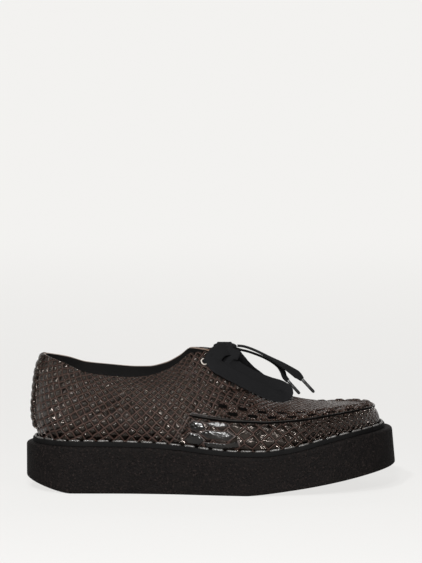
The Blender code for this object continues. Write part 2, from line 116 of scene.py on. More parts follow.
def applyModifiers(piece):
    # leaves the piece as a plain mesh
    graph = bpy.context.evaluated_depsgraph_get()
    made = bpy.data.meshes.new_from_object(piece.evaluated_get(graph))
    piece.modifiers.clear()
    piece.data = made
    return piece


def paintUv(piece, name, values):
    # values: one (u, v) for each vertex
    layer = piece.data.uv_layers.new(name=name)
    vertexOf = np.zeros(len(piece.data.loops), np.int32)
    piece.data.loops.foreach_get("vertex_index", vertexOf)
    layer.data.foreach_set("uv", np.asarray(values, np.float32)[vertexOf].ravel())


def finishPiece(piece, nodes=()):
    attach(piece, "root")
    if nodes:
        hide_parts(*nodes)
    return piece


# ---------- material helpers

def newMaterial(name):
    material = bpy.data.materials.new(name)
    material.use_nodes = True
    tree = material.node_tree
    return material, tree, tree.nodes["Principled BSDF"]


def addNode(tree, kind, inputs=None, **settings):
    node = tree.nodes.new(kind)
    for key, value in settings.items():
        setattr(node, key, value)
    for key, value in (inputs or {}).items():
        if isinstance(value, bpy.types.NodeSocket):
            tree.links.new(value, node.inputs[key])
        else:
            node.inputs[key].default_value = value
    return node


def maths(tree, operation, a, b=0.0, clamp=False):
    node = addNode(tree, "ShaderNodeMath", {0: a, 1: b}, operation=operation)
    node.use_clamp = clamp
    return node.outputs[0]


def remap(tree, value, low, high, toLow=0.0, toHigh=1.0, kind="SMOOTHSTEP"):
    node = addNode(tree, "ShaderNodeMapRange", {0: value, 1: low, 2: high, 3: toLow, 4: toHigh},
                   interpolation_type=kind)
    return node.outputs[0]


def mixColour(tree, factor, first, second, blend="MIX"):
    node = addNode(tree, "ShaderNodeMix", {0: factor, 6: first, 7: second}, data_type="RGBA", blend_type=blend)
    return node.outputs[2]


def noise(tree, vector, scale, detail=3.0, roughness=0.55):
    node = addNode(tree, "ShaderNodeTexNoise",
                   {"Vector": vector, "Scale": scale, "Detail": detail, "Roughness": roughness})
    return node.outputs["Fac"]


def bump(tree, height, distance, strength=1.0, before=None):
    node = addNode(tree, "ShaderNodeBump", {"Height": height, "Distance": distance, "Strength": strength})
    if before is not None:
        tree.links.new(before, node.inputs["Normal"])
    return node.outputs["Normal"]


def plugIn(tree, shader, **sockets):
    names = {"colour": "Base Color", "roughness": "Roughness", "normal": "Normal"}
    for key, value in sockets.items():
        tree.links.new(value, shader.inputs[names[key]])


# ---------- materials

scaleLook = {
    "faceDark": (0.0010, 0.0007, 0.0005, 1),
    "faceLight": (0.0095, 0.0072, 0.0056, 1),
    "grooveColour": (0.0130, 0.0032, 0.0012, 1),
    "shine": (1.0, 0.86, 0.78, 1),
    "irregular": 0.24,
    "grooveWidth": 0.115,
    "relief": 0.0020,
    "tiltShare": 0.45,
    "tiltChance": 1.9,
    "dome": 0.50,
    "faceRoughness": 0.17,
    "grooveRoughness": 0.60,
}


def scaledLeather(name, uvName, look):
    # diamond scales on the piece's own map, one map unit to a scale
    material, tree, shader = newMaterial(name)
    uv = addNode(tree, "ShaderNodeUVMap", uv_map=uvName).outputs[0]
    parts = addNode(tree, "ShaderNodeSeparateXYZ", {0: uv})
    alongA = maths(tree, "ADD", parts.outputs[0], parts.outputs[1])
    alongB = maths(tree, "SUBTRACT", parts.outputs[0], parts.outputs[1])
    lattice = addNode(tree, "ShaderNodeCombineXYZ", {0: alongA, 1: alongB}).outputs[0]
    edge = addNode(tree, "ShaderNodeTexVoronoi", {"Vector": lattice, "Scale": 1.0, "Randomness": look["irregular"]},
                   voronoi_dimensions="2D", feature="DISTANCE_TO_EDGE").outputs["Distance"]
    cell = addNode(tree, "ShaderNodeTexVoronoi", {"Vector": lattice, "Scale": 1.0, "Randomness": look["irregular"]},
                   voronoi_dimensions="2D", feature="F1")
    inCell = addNode(tree, "ShaderNodeVectorMath", {0: lattice, 1: cell.outputs["Position"]}, operation="SUBTRACT")
    inCellParts = addNode(tree, "ShaderNodeSeparateXYZ", {0: inCell.outputs[0]})
    chance = addNode(tree, "ShaderNodeSeparateColor", {0: cell.outputs["Color"]})
    face = remap(tree, edge, look["grooveWidth"] * 0.35, look["grooveWidth"] * 1.9)
    # each scale leans, its lower front edge proud
    lean = maths(tree, "SUBTRACT", inCellParts.outputs[0],
                 maths(tree, "MULTIPLY", inCellParts.outputs[1], 0.35))
    leaning = maths(tree, "MULTIPLY", maths(tree, "MULTIPLY", lean, look["tiltShare"]), face)
    tiltA = maths(tree, "MULTIPLY", inCellParts.outputs[0], maths(tree, "SUBTRACT", chance.outputs[1], 0.5))
    tiltB = maths(tree, "MULTIPLY", inCellParts.outputs[1], maths(tree, "SUBTRACT", chance.outputs[2], 0.5))
    tilted = maths(tree, "MULTIPLY", maths(tree, "ADD", tiltA, tiltB), look["tiltChance"])
    dome = remap(tree, edge, 0.0, 0.5, 0.0, look["dome"])
    crown = maths(tree, "ADD", maths(tree, "ADD", face, dome), maths(tree, "ADD", leaning, maths(tree, "MULTIPLY", tilted, face)))
    objectAt = addNode(tree, "ShaderNodeTexCoord").outputs["Object"]
    streak = noise(tree, addNode(tree, "ShaderNodeMapping", {0: lattice, 3: (2.5, 22.0, 1.0)}).outputs[0], 1.0, 2.0)
    grain = noise(tree, objectAt, 900.0, 3.0)
    patches = noise(tree, objectAt, 26.0, 2.0)
    wear = noise(tree, objectAt, 75.0, 4.0)
    height = maths(tree, "ADD", crown, maths(tree, "MULTIPLY", streak, 0.18))
    height = maths(tree, "ADD", height, maths(tree, "MULTIPLY", grain, 0.07))
    shade = maths(tree, "MULTIPLY", chance.outputs[0], 0.75)
    shade = maths(tree, "ADD", shade, maths(tree, "MULTIPLY", remap(tree, patches, 0.38, 0.66), 0.45))
    shade = maths(tree, "SUBTRACT", shade, 0.12, clamp=True)
    faceColour = mixColour(tree, shade, look["faceDark"], look["faceLight"])
    faceColour = mixColour(tree, maths(tree, "MULTIPLY", streak, 0.35), faceColour, look["faceDark"])
    colour = mixColour(tree, face, look["grooveColour"], faceColour)
    rough = remap(tree, face, 0, 1, look["grooveRoughness"], look["faceRoughness"], "LINEAR")
    rough = maths(tree, "ADD", rough, maths(tree, "MULTIPLY", remap(tree, wear, 0.45, 0.75), 0.16), clamp=True)
    plugIn(tree, shader, colour=colour, roughness=rough,
           normal=bump(tree, height, look["relief"]))
    shader.inputs["Specular IOR Level"].default_value = 0.5
    shader.inputs["Specular Tint"].default_value = look["shine"]
    return material


def plainLeather(name, colour, light, roughness, relief):
    # fine grained leather without scales
    material, tree, shader = newMaterial(name)
    at = addNode(tree, "ShaderNodeTexCoord").outputs["Object"]
    pebble = addNode(tree, "ShaderNodeTexVoronoi", {"Vector": at, "Scale": 620.0, "Randomness": 1.0},
                     feature="SMOOTH_F1").outputs["Distance"]
    tone = noise(tree, at, 60.0, 4.0)
    mixed = mixColour(tree, remap(tree, tone, 0.35, 0.7), colour, light)
    rough = remap(tree, tone, 0.3, 0.7, roughness, min(roughness + 0.18, 1.0))
    plugIn(tree, shader, colour=mixed, roughness=rough, normal=bump(tree, pebble, relief))
    return material


def foamRubber():
    material, tree, shader = newMaterial("soleFoam")
    at = addNode(tree, "ShaderNodeTexCoord").outputs["Object"]
    fine = noise(tree, at, 620.0, 3.0, 0.7)
    broad = noise(tree, at, 120.0, 2.0)
    pits = addNode(tree, "ShaderNodeTexVoronoi", {"Vector": at, "Scale": 430.0, "Randomness": 1.0}).outputs["Distance"]
    speck = remap(tree, fine, 0.50, 0.72)
    colour = mixColour(tree, speck, (0.0014, 0.0010, 0.0009, 1), (0.0125, 0.0092, 0.0082, 1))
    colour = mixColour(tree, maths(tree, "MULTIPLY", remap(tree, broad, 0.4, 0.7), 0.4), colour,
                       (0.0040, 0.0030, 0.0027, 1))
    height = maths(tree, "ADD", fine, maths(tree, "MULTIPLY", remap(tree, pits, 0.0, 0.45), 0.6))
    plugIn(tree, shader, colour=colour, roughness=remap(tree, fine, 0.3, 0.7, 0.70, 0.92),
           normal=bump(tree, height, 0.0007))
    shader.inputs["Specular IOR Level"].default_value = 0.08
    return material


def weltRubber():
    material, tree, shader = newMaterial("weltBlack")
    at = addNode(tree, "ShaderNodeTexCoord").outputs["Object"]
    fine = noise(tree, at, 500.0, 3.0)
    broad = noise(tree, at, 45.0, 3.0)
    colour = mixColour(tree, remap(tree, broad, 0.4, 0.7), (0.0014, 0.0013, 0.0013, 1), (0.0032, 0.0030, 0.0029, 1))
    plugIn(tree, shader, colour=colour, roughness=remap(tree, broad, 0.3, 0.7, 0.75, 0.88),
           normal=bump(tree, fine, 0.00012))
    shader.inputs["Specular IOR Level"].default_value = 0.08
    return material


def waxedThread():
    material, tree, shader = newMaterial("waxedThread")
    at = addNode(tree, "ShaderNodeTexCoord").outputs["Object"]
    twist = addNode(tree, "ShaderNodeTexWave", {"Vector": at, "Scale": 380.0, "Distortion": 1.5, "Detail": 1.0},
                    wave_type="BANDS", bands_direction="DIAGONAL").outputs["Fac"]
    tone = noise(tree, at, 240.0, 2.0)
    colour = mixColour(tree, remap(tree, tone, 0.35, 0.65), (0.030, 0.028, 0.026, 1), (0.058, 0.055, 0.052, 1))
    plugIn(tree, shader, colour=colour, roughness=remap(tree, tone, 0.3, 0.7, 0.22, 0.38),
           normal=bump(tree, twist, 0.00016))
    return material


def wovenLace():
    # herringbone of a flat woven lace; the map runs along and across in millimetres
    material, tree, shader = newMaterial("laceBlack")
    uv = addNode(tree, "ShaderNodeUVMap", uv_map="weaveMap").outputs[0]
    parts = addNode(tree, "ShaderNodeSeparateXYZ", {0: uv})
    along = maths(tree, "MULTIPLY", parts.outputs[0], 1.4)
    across = maths(tree, "MULTIPLY", parts.outputs[1], 1.8)
    chevron = maths(tree, "PINGPONG", across, 1.0)
    rib = maths(tree, "FRACT", maths(tree, "ADD", along, chevron))
    ribHeight = maths(tree, "SINE", maths(tree, "MULTIPLY", rib, math.pi))
    cordHeight = maths(tree, "SINE", maths(tree, "MULTIPLY", maths(tree, "FRACT", across), math.pi))
    height = maths(tree, "ADD", maths(tree, "MULTIPLY", ribHeight, 0.7), maths(tree, "MULTIPLY", cordHeight, 0.5))
    at = addNode(tree, "ShaderNodeTexCoord").outputs["Object"]
    fuzz = noise(tree, at, 1500.0, 2.0)
    height = maths(tree, "ADD", height, maths(tree, "MULTIPLY", fuzz, 0.5))
    # colour follows the weave's height: lighter on the raised ribs and cords, darker in the hollows between them as
    # painted shade, with random fuzz
    colour = mixColour(tree, remap(tree, height, 0.2, 1.5), (0.0022, 0.0022, 0.0024, 1), (0.0075, 0.0075, 0.0080, 1))
    plugIn(tree, shader, colour=colour, normal=bump(tree, height, 0.0003))
    shader.inputs["Roughness"].default_value = 0.92
    shader.inputs["Specular IOR Level"].default_value = 0.08
    return material


def tipPlastic():
    material, tree, shader = newMaterial("agletPlastic")
    at = addNode(tree, "ShaderNodeTexCoord").outputs["Object"]
    tone = noise(tree, at, 300.0, 2.0)
    colour = mixColour(tree, remap(tree, tone, 0.3, 0.7), (0.004, 0.004, 0.004, 1), (0.012, 0.012, 0.012, 1))
    plugIn(tree, shader, colour=colour, roughness=remap(tree, tone, 0.3, 0.7, 0.25, 0.4),
           normal=bump(tree, tone, 0.00008))
    return material


quarterLeather = scaledLeather("quarterLeather", "quarterMap", scaleLook)
vampLeather = scaledLeather("vampLeather", "vampMap", dict(scaleLook, grooveWidth=0.065, relief=0.0027))
fineLeather = scaledLeather("fineLeather", "fineMap", dict(scaleLook, faceLight=(0.014, 0.0085, 0.0052, 1), relief=0.0010, grooveWidth=0.12))
ridgeLeather = plainLeather("ridgeLeather", (0.003, 0.0025, 0.002, 1), (0.009, 0.007, 0.006, 1), 0.15, 0.00004)
edgeLeather = plainLeather("edgeLeather", (0.055, 0.032, 0.020, 1), (0.10, 0.062, 0.040, 1), 0.45, 0.0001)
plateLeather = plainLeather("plateLeather", (0.0018, 0.0015, 0.0012, 1), (0.0065, 0.0050, 0.0038, 1), 0.18, 0.0004)
plateLeather.node_tree.nodes["Principled BSDF"].inputs["Specular IOR Level"].default_value = 0.35
plateBed = plainLeather("plateBed", (0.012, 0.0034, 0.0014, 1), (0.020, 0.0058, 0.0026, 1), 0.6, 0.0001)
seamThread = plainLeather("seamThread", (0.010, 0.007, 0.006, 1), (0.030, 0.022, 0.018, 1), 0.4, 0.00005)
rimGrey = plainLeather("rimGrey", (0.16, 0.14, 0.12, 1), (0.34, 0.31, 0.28, 1), 0.35, 0.00005)
# near-black painted shade, laid in the woven band's slots and in the groove just under the vamp's ridge
paintedShade = plainLeather("paintedShade", (0.0006, 0.0005, 0.0005, 1), (0.0012, 0.0010, 0.0009, 1), 0.9, 0.0001)
paintedShade.node_tree.nodes["Principled BSDF"].inputs["Specular IOR Level"].default_value = 0.02
liningBlack = plainLeather("liningBlack", (0.0016, 0.0015, 0.0014, 1), (0.0034, 0.0031, 0.0029, 1), 0.8, 0.00012)
soleFoam = foamRubber()
weltBlack = weltRubber()
liningBlack.node_tree.nodes["Principled BSDF"].inputs["Specular IOR Level"].default_value = 0.1
threadGrey = waxedThread()
laceBlack = wovenLace()
agletPlastic = tipPlastic()
print("materials ready")


# ---------- laces

lace = {
    "width": 0.0108,
    "barWidth": 0.0080,
    "thickness": 0.0013,
    "aglet": (0.0150, 0.0026),
}

nearLoopRoute = (
    (0.0125, -0.0088, 0.1132), (0.0065, -0.0150, 0.1122), (0.0022, -0.0212, 0.1072),
    (0.0045, -0.0242, 0.1018), (0.0125, -0.0240, 0.0965), (0.0225, -0.0225, 0.0905),
    (0.0343, -0.0205, 0.0843), (0.0454, -0.0178, 0.0788), (0.0545, -0.0150, 0.0760),
    (0.0602, -0.0112, 0.0765), (0.0612, -0.0080, 0.0795), (0.0562, -0.0064, 0.0828),
    (0.0480, -0.0072, 0.0855), (0.0395, -0.0090, 0.0890), (0.0293, -0.0104, 0.0938),
    (0.0205, -0.0116, 0.0988), (0.0150, -0.0118, 0.1048), (0.0192, -0.0060, 0.1134),
)
farLoopRoute = (
    (0.0120, 0.0078, 0.1134), (0.0150, 0.0145, 0.1045), (0.0210, 0.0200, 0.0960),
    (0.0285, 0.0242, 0.0888), (0.0355, 0.0272, 0.0828), (0.0410, 0.0290, 0.0788),
    (0.0455, 0.0288, 0.0768), (0.0475, 0.0264, 0.0788), (0.0440, 0.0228, 0.0834),
    (0.0375, 0.0190, 0.0892), (0.0300, 0.0152, 0.0955), (0.0230, 0.0122, 0.1025),
    (0.0178, 0.0088, 0.1105),
)
firstEndRoute = (
    (0.0214, 0.0000, 0.1152), (0.0270, 0.0000, 0.1146), (0.0350, 0.0000, 0.1118),
    (0.0455, 0.0000, 0.1067), (0.0560, 0.0000, 0.1008), (0.0650, 0.0000, 0.0951),
    (0.0710, 0.0000, 0.0908), (0.0742, 0.0000, 0.0876),
)
secondEndRoute = (
    (0.0200, 0.0042, 0.1128), (0.0250, 0.0050, 0.1112), (0.0310, 0.0060, 0.1096),
    (0.0400, 0.0070, 0.1062), (0.0495, 0.0075, 0.1018), (0.0553, 0.0076, 0.0978),
    (0.0585, 0.0076, 0.0932), (0.0600, 0.0076, 0.0890), (0.0628, 0.0076, 0.0856),
)


def smoothRoute(route, count):
    # evenly spaced points on a smooth curve through the route
    given = np.array(route, float)
    padded = np.vstack([given[0], given, given[-1]])
    fine = []
    for i in range(1, len(padded) - 2):
        a, b, c, d = padded[i - 1], padded[i], padded[i + 1], padded[i + 2]
        for t in np.linspace(0, 1, 24, endpoint=False):
            fine.append(0.5 * (2 * b + (c - a) * t + (2 * a - 5 * b + 4 * c - d) * t ** 2
                               + (3 * b - a - 3 * c + d) * t ** 3))
    fine.append(given[-1])
    fine = np.array(fine)
    walked = np.concatenate([[0], np.cumsum(np.linalg.norm(np.diff(fine, axis=0), axis=1))])
    at = np.linspace(0, walked[-1], count)
    return np.stack([np.interp(at, walked, fine[:, k]) for k in range(3)], axis=1), walked[-1]


def unit(vectors):
    return vectors / np.maximum(np.linalg.norm(vectors, axis=-1, keepdims=True), 1e-12)


def flatRibbon(name, points, faceOut, width, thickness, material, hollow=0.0):
    # flat lace along points, its broad face turned to faceOut, with rounded edges
    points = np.asarray(points, float)
    run = unit(np.gradient(points, axis=0))
    across = unit(np.cross(np.asarray(faceOut, float), run))
    up = unit(np.cross(run, across))
    section = []
    for k in range(14):
        angle = tau * k / 14
        c, s = math.cos(angle), math.sin(angle)
        section.append((math.copysign(abs(c) ** 0.45, c) / 2, math.copysign(abs(s) ** 0.7, s) / 2))
    rings = []
    maps = []
    walked = np.concatenate([[0], np.cumsum(np.linalg.norm(np.diff(points, axis=0), axis=1))])
    widths = np.broadcast_to(width, len(points))
    for i in range(len(points)):
        for a, b in section:
            cup = hollow * (4 * a * a - 0.5)
            rings.append(points[i] + across[i] * a * widths[i] + up[i] * (b * thickness + cup))
            maps.append((walked[i] * 1000, a * widths[i] * 1000))
    faces = gridFaces(len(points), 14, closed=True)
    faces.append(tuple(reversed(range(14))))
    faces.append(tuple(range((len(points) - 1) * 14, len(points) * 14)))
    piece = linkMesh(name, rings, faces, material, 60)
    paintUv(piece, "weaveMap", maps)
    work = bmesh.new()
    work.from_mesh(piece.data)
    bmesh.ops.recalc_face_normals(work, faces=work.faces)
    work.to_mesh(piece.data)
    work.free()
    return piece


def turned(count, *stops):
    # face direction along a lace, from a few stops (share, direction)
    shares = np.linspace(0, 1, count)
    at = [s[0] for s in stops]
    return unit(np.stack([np.interp(shares, at, [s[1][k] for s in stops]) for k in range(3)], axis=1))


def roundRod(name, start, end, diameter, material, sides=16):
    # aglet: plain rod with a crimp and rounded ends
    start, end = np.array(start, float), np.array(end, float)
    run = unit(end - start)
    side = unit(np.cross(run, (0, 1, 0.01)))
    up = np.cross(side, run)
    profile = ((0.0, 0.35), (0.012, 0.80), (0.04, 1.0), (0.30, 1.0), (0.34, 0.90), (0.38, 1.0),
               (0.90, 0.98), (0.975, 0.82), (1.0, 0.40))
    rings = []
    for t, r in profile:
        for k in range(sides):
            angle = tau * k / sides
            rings.append(start + (end - start) * t
                         + (side * math.cos(angle) + up * math.sin(angle)) * diameter / 2 * r)
    faces = gridFaces(len(profile), sides, closed=True)
    faces.append(tuple(reversed(range(sides))))
    faces.append(tuple(range((len(profile) - 1) * sides, len(profile) * sides)))
    piece = linkMesh(name, rings, faces, material, 40)
    work = bmesh.new()
    work.from_mesh(piece.data)
    bmesh.ops.recalc_face_normals(work, faces=work.faces)
    work.to_mesh(piece.data)
    work.free()
    return piece


def makeLoop(name, route, faces, node):
    points, long = smoothRoute(route, 110)
    width = np.interp(np.linspace(0, 1, 110), (0, 0.12, 0.28, 0.78, 0.9, 1),
                      np.array((1.1, 1.25, 1, 1, 1.3, 1.1)) * lace["width"])
    loop = flatRibbon(name, points, turned(110, *faces), width, lace["thickness"], laceBlack, 0.0004)
    finishPiece(loop, [node])
    return loop


def makeEnd(name, route, faces, widths, node, agletNode):
    points, long = smoothRoute(route, 70)
    shares = np.linspace(0, 1, 70)
    width = np.interp(shares, [w[0] for w in widths], [w[1] for w in widths])
    strand = flatRibbon(name, points, turned(70, *faces), width, lace["thickness"], laceBlack)
    finishPiece(strand, [node])
    run = points[-1] - points[-2]
    run = run / np.linalg.norm(run)
    tipStart = points[-1] - run * 0.0006
    tip = roundRod(name.replace("End", "Aglet"), tipStart, tipStart + run * lace["aglet"][0],
                   lace["aglet"][1], agletPlastic)
    finishPiece(tip, [agletNode])
    return strand


nearLoop = makeLoop("nearLoop", nearLoopRoute,
                    ((0, (0.2, -0.75, 0.6)), (0.45, (0.1, -0.9, 0.45)), (0.55, (0.1, -0.9, 0.45)), (1, (0.2, -0.7, 0.7))),
                    "lace_loop_near")
farLoop = makeLoop("farLoop", farLoopRoute,
                   ((0, (0.2, 0.6, 0.75)), (0.5, (0.1, 0.7, 0.7)), (1, (0.2, 0.6, 0.75))),
                   "lace_loop_far")
firstEnd = makeEnd("firstEnd", firstEndRoute,
                   ((0, (0.3, -0.12, 0.9)), (0.45, (0.3, -0.15, 0.9)), (0.75, (0.2, -0.50, 0.85)), (1, (0.2, -0.8, 0.55))),
                   ((0, 0.0056), (0.4, 0.0060), (0.65, 0.0080), (0.9, 0.0084), (1, 0.0042)),
                   "lace_end_first", "aglet_first")
secondEnd = makeEnd("secondEnd", secondEndRoute,
                    ((0, (0.3, -0.10, 0.9)), (0.45, (0.3, -0.12, 0.9)), (0.8, (0.7, -0.5, 0.5)), (1, (0.5, -0.8, 0.5))),
                    ((0, 0.0052), (0.5, 0.0056), (0.8, 0.0076), (1, 0.0042)),
                    "lace_end_second", "aglet_second")
print("lace loops and ends ready")


# ---------- the last: one surface through five rings, sizes in metres and shares of them

last = {
    "length": 0.283, "ball": 0.098, "height": 0.080,
    "heelCurve": 0.14, "toeCurve": 0.22, "toeSquare": 2.25,
    "wall": 0.0020, "gap": 0.0003, "drawReach": 0.30,
    "innerRise": 0.0030, "collarEnd": 0.44,
}
sole = {
    "heelLedge": 0.0055, "toeLedge": 0.0090, "sideLedge": 0.0075, "heelHeight": 0.0380,
    "toeFlare": 0.0024, "sideFlare": 0.0008, "toeSpring": 0.0202, "springLength": 0.122,
    "springPower": 1.25, "heelBevel": 0.0098, "bevelLength": 0.036, "bevelPower": 1.3,
    "edgeRound": 0.0024, "treadRound": 0.0014,
}
welt = {
    "height": 0.0036, "width": 0.0052, "round": 0.0009,
    "stitchPitch": 0.0116, "stitchLength": 0.0098, "stitchWidth": 0.0021, "stitchHeight": 0.0021,
}

footRing = (
    (0.00, 0.310, 0.310, 0.000), (0.12, 0.322, 0.322, 0.000), (0.25, 0.325, 0.305, 0.000),
    (0.38, 0.357, 0.290, 0.000), (0.48, 0.408, 0.320, 0.000), (0.56, 0.449, 0.385, 0.000),
    (0.64, 0.476, 0.455, 0.000), (0.74, 0.474, 0.488, 0.000), (0.84, 0.440, 0.474, 0.000),
    (0.93, 0.400, 0.448, 0.000), (1.00, 0.378, 0.435, 0.000),
)
cheekRing = (
    (0.00, 0.345, 0.345, 0.260), (0.12, 0.362, 0.362, 0.215), (0.25, 0.362, 0.342, 0.185),
    (0.38, 0.392, 0.328, 0.172), (0.48, 0.440, 0.358, 0.165), (0.56, 0.478, 0.420, 0.160),
    (0.64, 0.500, 0.484, 0.150), (0.74, 0.496, 0.512, 0.140), (0.84, 0.462, 0.496, 0.118),
    (0.93, 0.422, 0.470, 0.100), (1.00, 0.400, 0.456, 0.092),
)
shoulderRing = (
    (0.00, 0.315, 0.315, 0.530), (0.12, 0.338, 0.338, 0.445), (0.25, 0.346, 0.330, 0.395),
    (0.38, 0.372, 0.328, 0.385), (0.48, 0.412, 0.352, 0.367), (0.56, 0.424, 0.392, 0.350),
    (0.64, 0.418, 0.424, 0.335), (0.74, 0.396, 0.428, 0.298), (0.84, 0.356, 0.402, 0.252),
    (0.93, 0.318, 0.372, 0.228), (1.00, 0.300, 0.358, 0.215),
)
crownRing = (
    (0.00, 0.255, 0.255, 0.745), (0.12, 0.298, 0.298, 0.620), (0.25, 0.322, 0.314, 0.575),
    (0.38, 0.322, 0.310, 0.640), (0.45, 0.300, 0.290, 0.720), (0.50, 0.282, 0.276, 0.705),
    (0.56, 0.276, 0.272, 0.625), (0.62, 0.268, 0.270, 0.530), (0.69, 0.252, 0.260, 0.437),
    (0.78, 0.228, 0.244, 0.362), (0.88, 0.190, 0.215, 0.303), (1.00, 0.160, 0.190, 0.262),
)
edgeRing = (
    (0.000, 0.230, 0.230, 0.890), (0.080, 0.252, 0.252, 0.818), (0.140, 0.286, 0.286, 0.742),
    (0.200, 0.302, 0.300, 0.710), (0.270, 0.306, 0.302, 0.695), (0.330, 0.302, 0.296, 0.713),
    (0.380, 0.290, 0.284, 0.775), (0.420, 0.268, 0.262, 0.868), (0.455, 0.222, 0.216, 0.968),
    (0.500, 0.142, 0.138, 0.978), (0.530, 0.108, 0.104, 0.908), (0.560, 0.086, 0.082, 0.840),
    (0.620, 0.064, 0.062, 0.715), (0.665, 0.040, 0.040, 0.622), (0.690, 0.000, 0.000, 0.568),
    (0.760, 0.000, 0.000, 0.470), (0.814, 0.000, 0.000, 0.405), (0.905, 0.000, 0.000, 0.322),
    (1.000, 0.000, 0.000, 0.290),
)
rings = (footRing, cheekRing, shoulderRing, crownRing, edgeRing)
heelDraw = (0.018, 0.000, 0.003, 0.012, 0.029)
toeDraw = (0.010, 0.005, 0.022, 0.056, 0.098)
collarTake = (0.0, 0.0, 0.0, 0.5, 1.0)
soleTopRows = (
    (0.000, 1.000), (0.210, 0.990), (0.340, 0.968), (0.420, 0.925), (0.500, 0.855), (0.570, 0.822),
    (0.635, 0.820), (0.680, 0.862), (0.735, 0.940), (0.800, 1.075), (0.865, 1.185), (0.930, 1.265),
    (1.000, 1.310),
)
soleLength = last["length"] + sole["heelLedge"] + sole["toeLedge"] + sole["toeFlare"]


def readRow(rows, column, share):
    # smooth value of a table's column, with no overshoot between rows
    table = np.array(rows, float)
    xs, ys = table[:, 0], table[:, column]
    rise = np.diff(ys) / np.diff(xs)
    slope = np.zeros(len(xs))
    slope[0], slope[-1] = rise[0], rise[-1]
    before, after = rise[:-1], rise[1:]
    same = before * after > 0
    slope[1:-1][same] = 2 * before[same] * after[same] / (before[same] + after[same])
    s = np.clip(np.asarray(share, float), xs[0], xs[-1])
    k = np.clip(np.searchsorted(xs, s, side="right") - 1, 0, len(xs) - 2)
    step = xs[k + 1] - xs[k]
    t = (s - xs[k]) / step
    return (ys[k] * (1 + 2 * t) * (1 - t) ** 2 + slope[k] * step * t * (1 - t) ** 2
            + ys[k + 1] * t * t * (3 - 2 * t) + slope[k + 1] * step * t * t * (t - 1))


def endRound(share):
    share = np.asarray(share, float)
    heel = np.sqrt(np.clip(1 - np.clip(1 - share / last["heelCurve"], 0, 1) ** 2, 0, 1))
    reach = np.clip((share - 1 + last["toeCurve"]) / last["toeCurve"], 0, 1)
    toe = np.clip(1 - reach ** last["toeSquare"], 0, 1) ** (1 / last["toeSquare"])
    return heel * toe


def sideY(rows, share, side, ledge=0.0):
    outer = last["ball"] * readRow(rows, 1, share) + ledge
    inner = last["ball"] * readRow(rows, 2, share) + ledge
    return (inner - outer) / 2 + side * (inner + outer) / 2 * endRound(share)


coarse = (1 - np.cos(np.pi * np.arange(39) / 38)) / 2
middle = (sideY(footRing, coarse, outerSide, sole["sideLedge"]).min()
          + sideY(footRing, coarse, innerSide, sole["sideLedge"]).max()) / 2


def soleTop(x):
    return sole["heelHeight"] * readRow(soleTopRows, 1, np.asarray(x, float) / soleLength + 0.5)


def soleBottom(x):
    fromHeel = np.asarray(x, float) + soleLength / 2
    fromToe = soleLength / 2 - np.asarray(x, float)
    heel = sole["heelBevel"] * np.clip(1 - np.clip(fromHeel, 0, None) / sole["bevelLength"], 0, 1) ** sole["bevelPower"]
    toe = sole["toeSpring"] * np.clip(1 - np.clip(fromToe, 0, None) / sole["springLength"], 0, 1) ** sole["springPower"]
    return np.maximum(heel, toe)


def ringPoint(ring, share, side):
    share = np.asarray(share, float)
    x = sole["heelLedge"] + share * last["length"] - soleLength / 2
    heel = np.clip(1 - share / last["drawReach"], 0, 1)
    toe = np.clip((share - 1 + last["drawReach"]) / last["drawReach"], 0, 1)
    x = x + heelDraw[ring] * last["length"] * heel ** 2 - toeDraw[ring] * last["length"] * toe ** 2
    y = sideY(rings[ring], share, side) - middle
    z = soleTop(x) + last["gap"] + last["height"] * readRow(rings[ring], 3, share)
    if side == innerSide:
        reach = np.clip(share / last["collarEnd"], 0, 1)
        z = z + last["innerRise"] * collarTake[ring] * np.sin(math.pi * reach) ** 2
    return np.stack([x, y, z], axis=-1)


def wallPoint(share, side, row):
    # points of the upper's outer face; share and row are arrays of one shape
    share, row = np.broadcast_arrays(np.asarray(share, float), np.asarray(row, float))
    p = np.stack([ringPoint(i, share, side) for i in range(5)])
    p = np.concatenate([(2 * p[0] - p[1])[None], p, (2 * p[4] - p[3])[None]])
    k = np.clip(row.astype(int), 0, 3)
    t = (row - k)[..., None]

    def pick(shift):
        return np.take_along_axis(p, (k + 1 + shift)[None, ..., None], axis=0)[0]

    before, a, b, after = pick(-1), pick(0), pick(1), pick(2)
    return (a * (1 + 2 * t) * (1 - t) ** 2 + (b - before) * 0.5 * t * (1 - t) ** 2
            + b * t * t * (3 - 2 * t) + (after - a) * 0.5 * t * t * (t - 1))


def wallNormal(share, side, row):
    share, row = np.broadcast_arrays(np.asarray(share, float), np.asarray(row, float))
    step = 0.004
    along = np.clip(share, 2 * step, 1 - 2 * step)
    up = np.clip(row, 0.02, 3.98)
    run = wallPoint(along + step, side, up) - wallPoint(along - step, side, up)
    rise = wallPoint(along, side, up + 0.02) - wallPoint(along, side, up - 0.02)
    return unit(np.cross(run, rise) * -side)


def smoothStep(low, high, value):
    t = np.clip((value - low) / (high - low), 0, 1)
    return t * t * (3 - 2 * t)


fineShares = np.linspace(0, 1, 4001)
perimeter = np.zeros(4001)
for wallSide in (outerSide, innerSide):
    cheek = ringPoint(1, fineShares, wallSide)
    perimeter[1:] += np.cumsum(np.linalg.norm(np.diff(cheek, axis=0), axis=1)) / 2
halfPerimeter = perimeter[-1]


def evenShares(count):
    # stations a same distance apart along the wall
    return np.interp(np.linspace(0, halfPerimeter, count), perimeter, fineShares)


# ---------- sole, welt and its stitches

def soleOutline(share, side, flare=0.0):
    x = share * (soleLength - sole["toeFlare"]) - soleLength / 2 + flare * sole["toeFlare"] * share * share
    y = (sideY(footRing, share, side, sole["sideLedge"]) - middle
         + side * flare * sole["sideFlare"] * endRound(share))
    return np.stack([x, y, np.zeros_like(x)], axis=-1)


def aroundShoe(pointAt, shares):
    outer = pointAt(shares, outerSide)
    inner = pointAt(shares[::-1][1:-1], innerSide)
    return np.vstack([outer, inner])


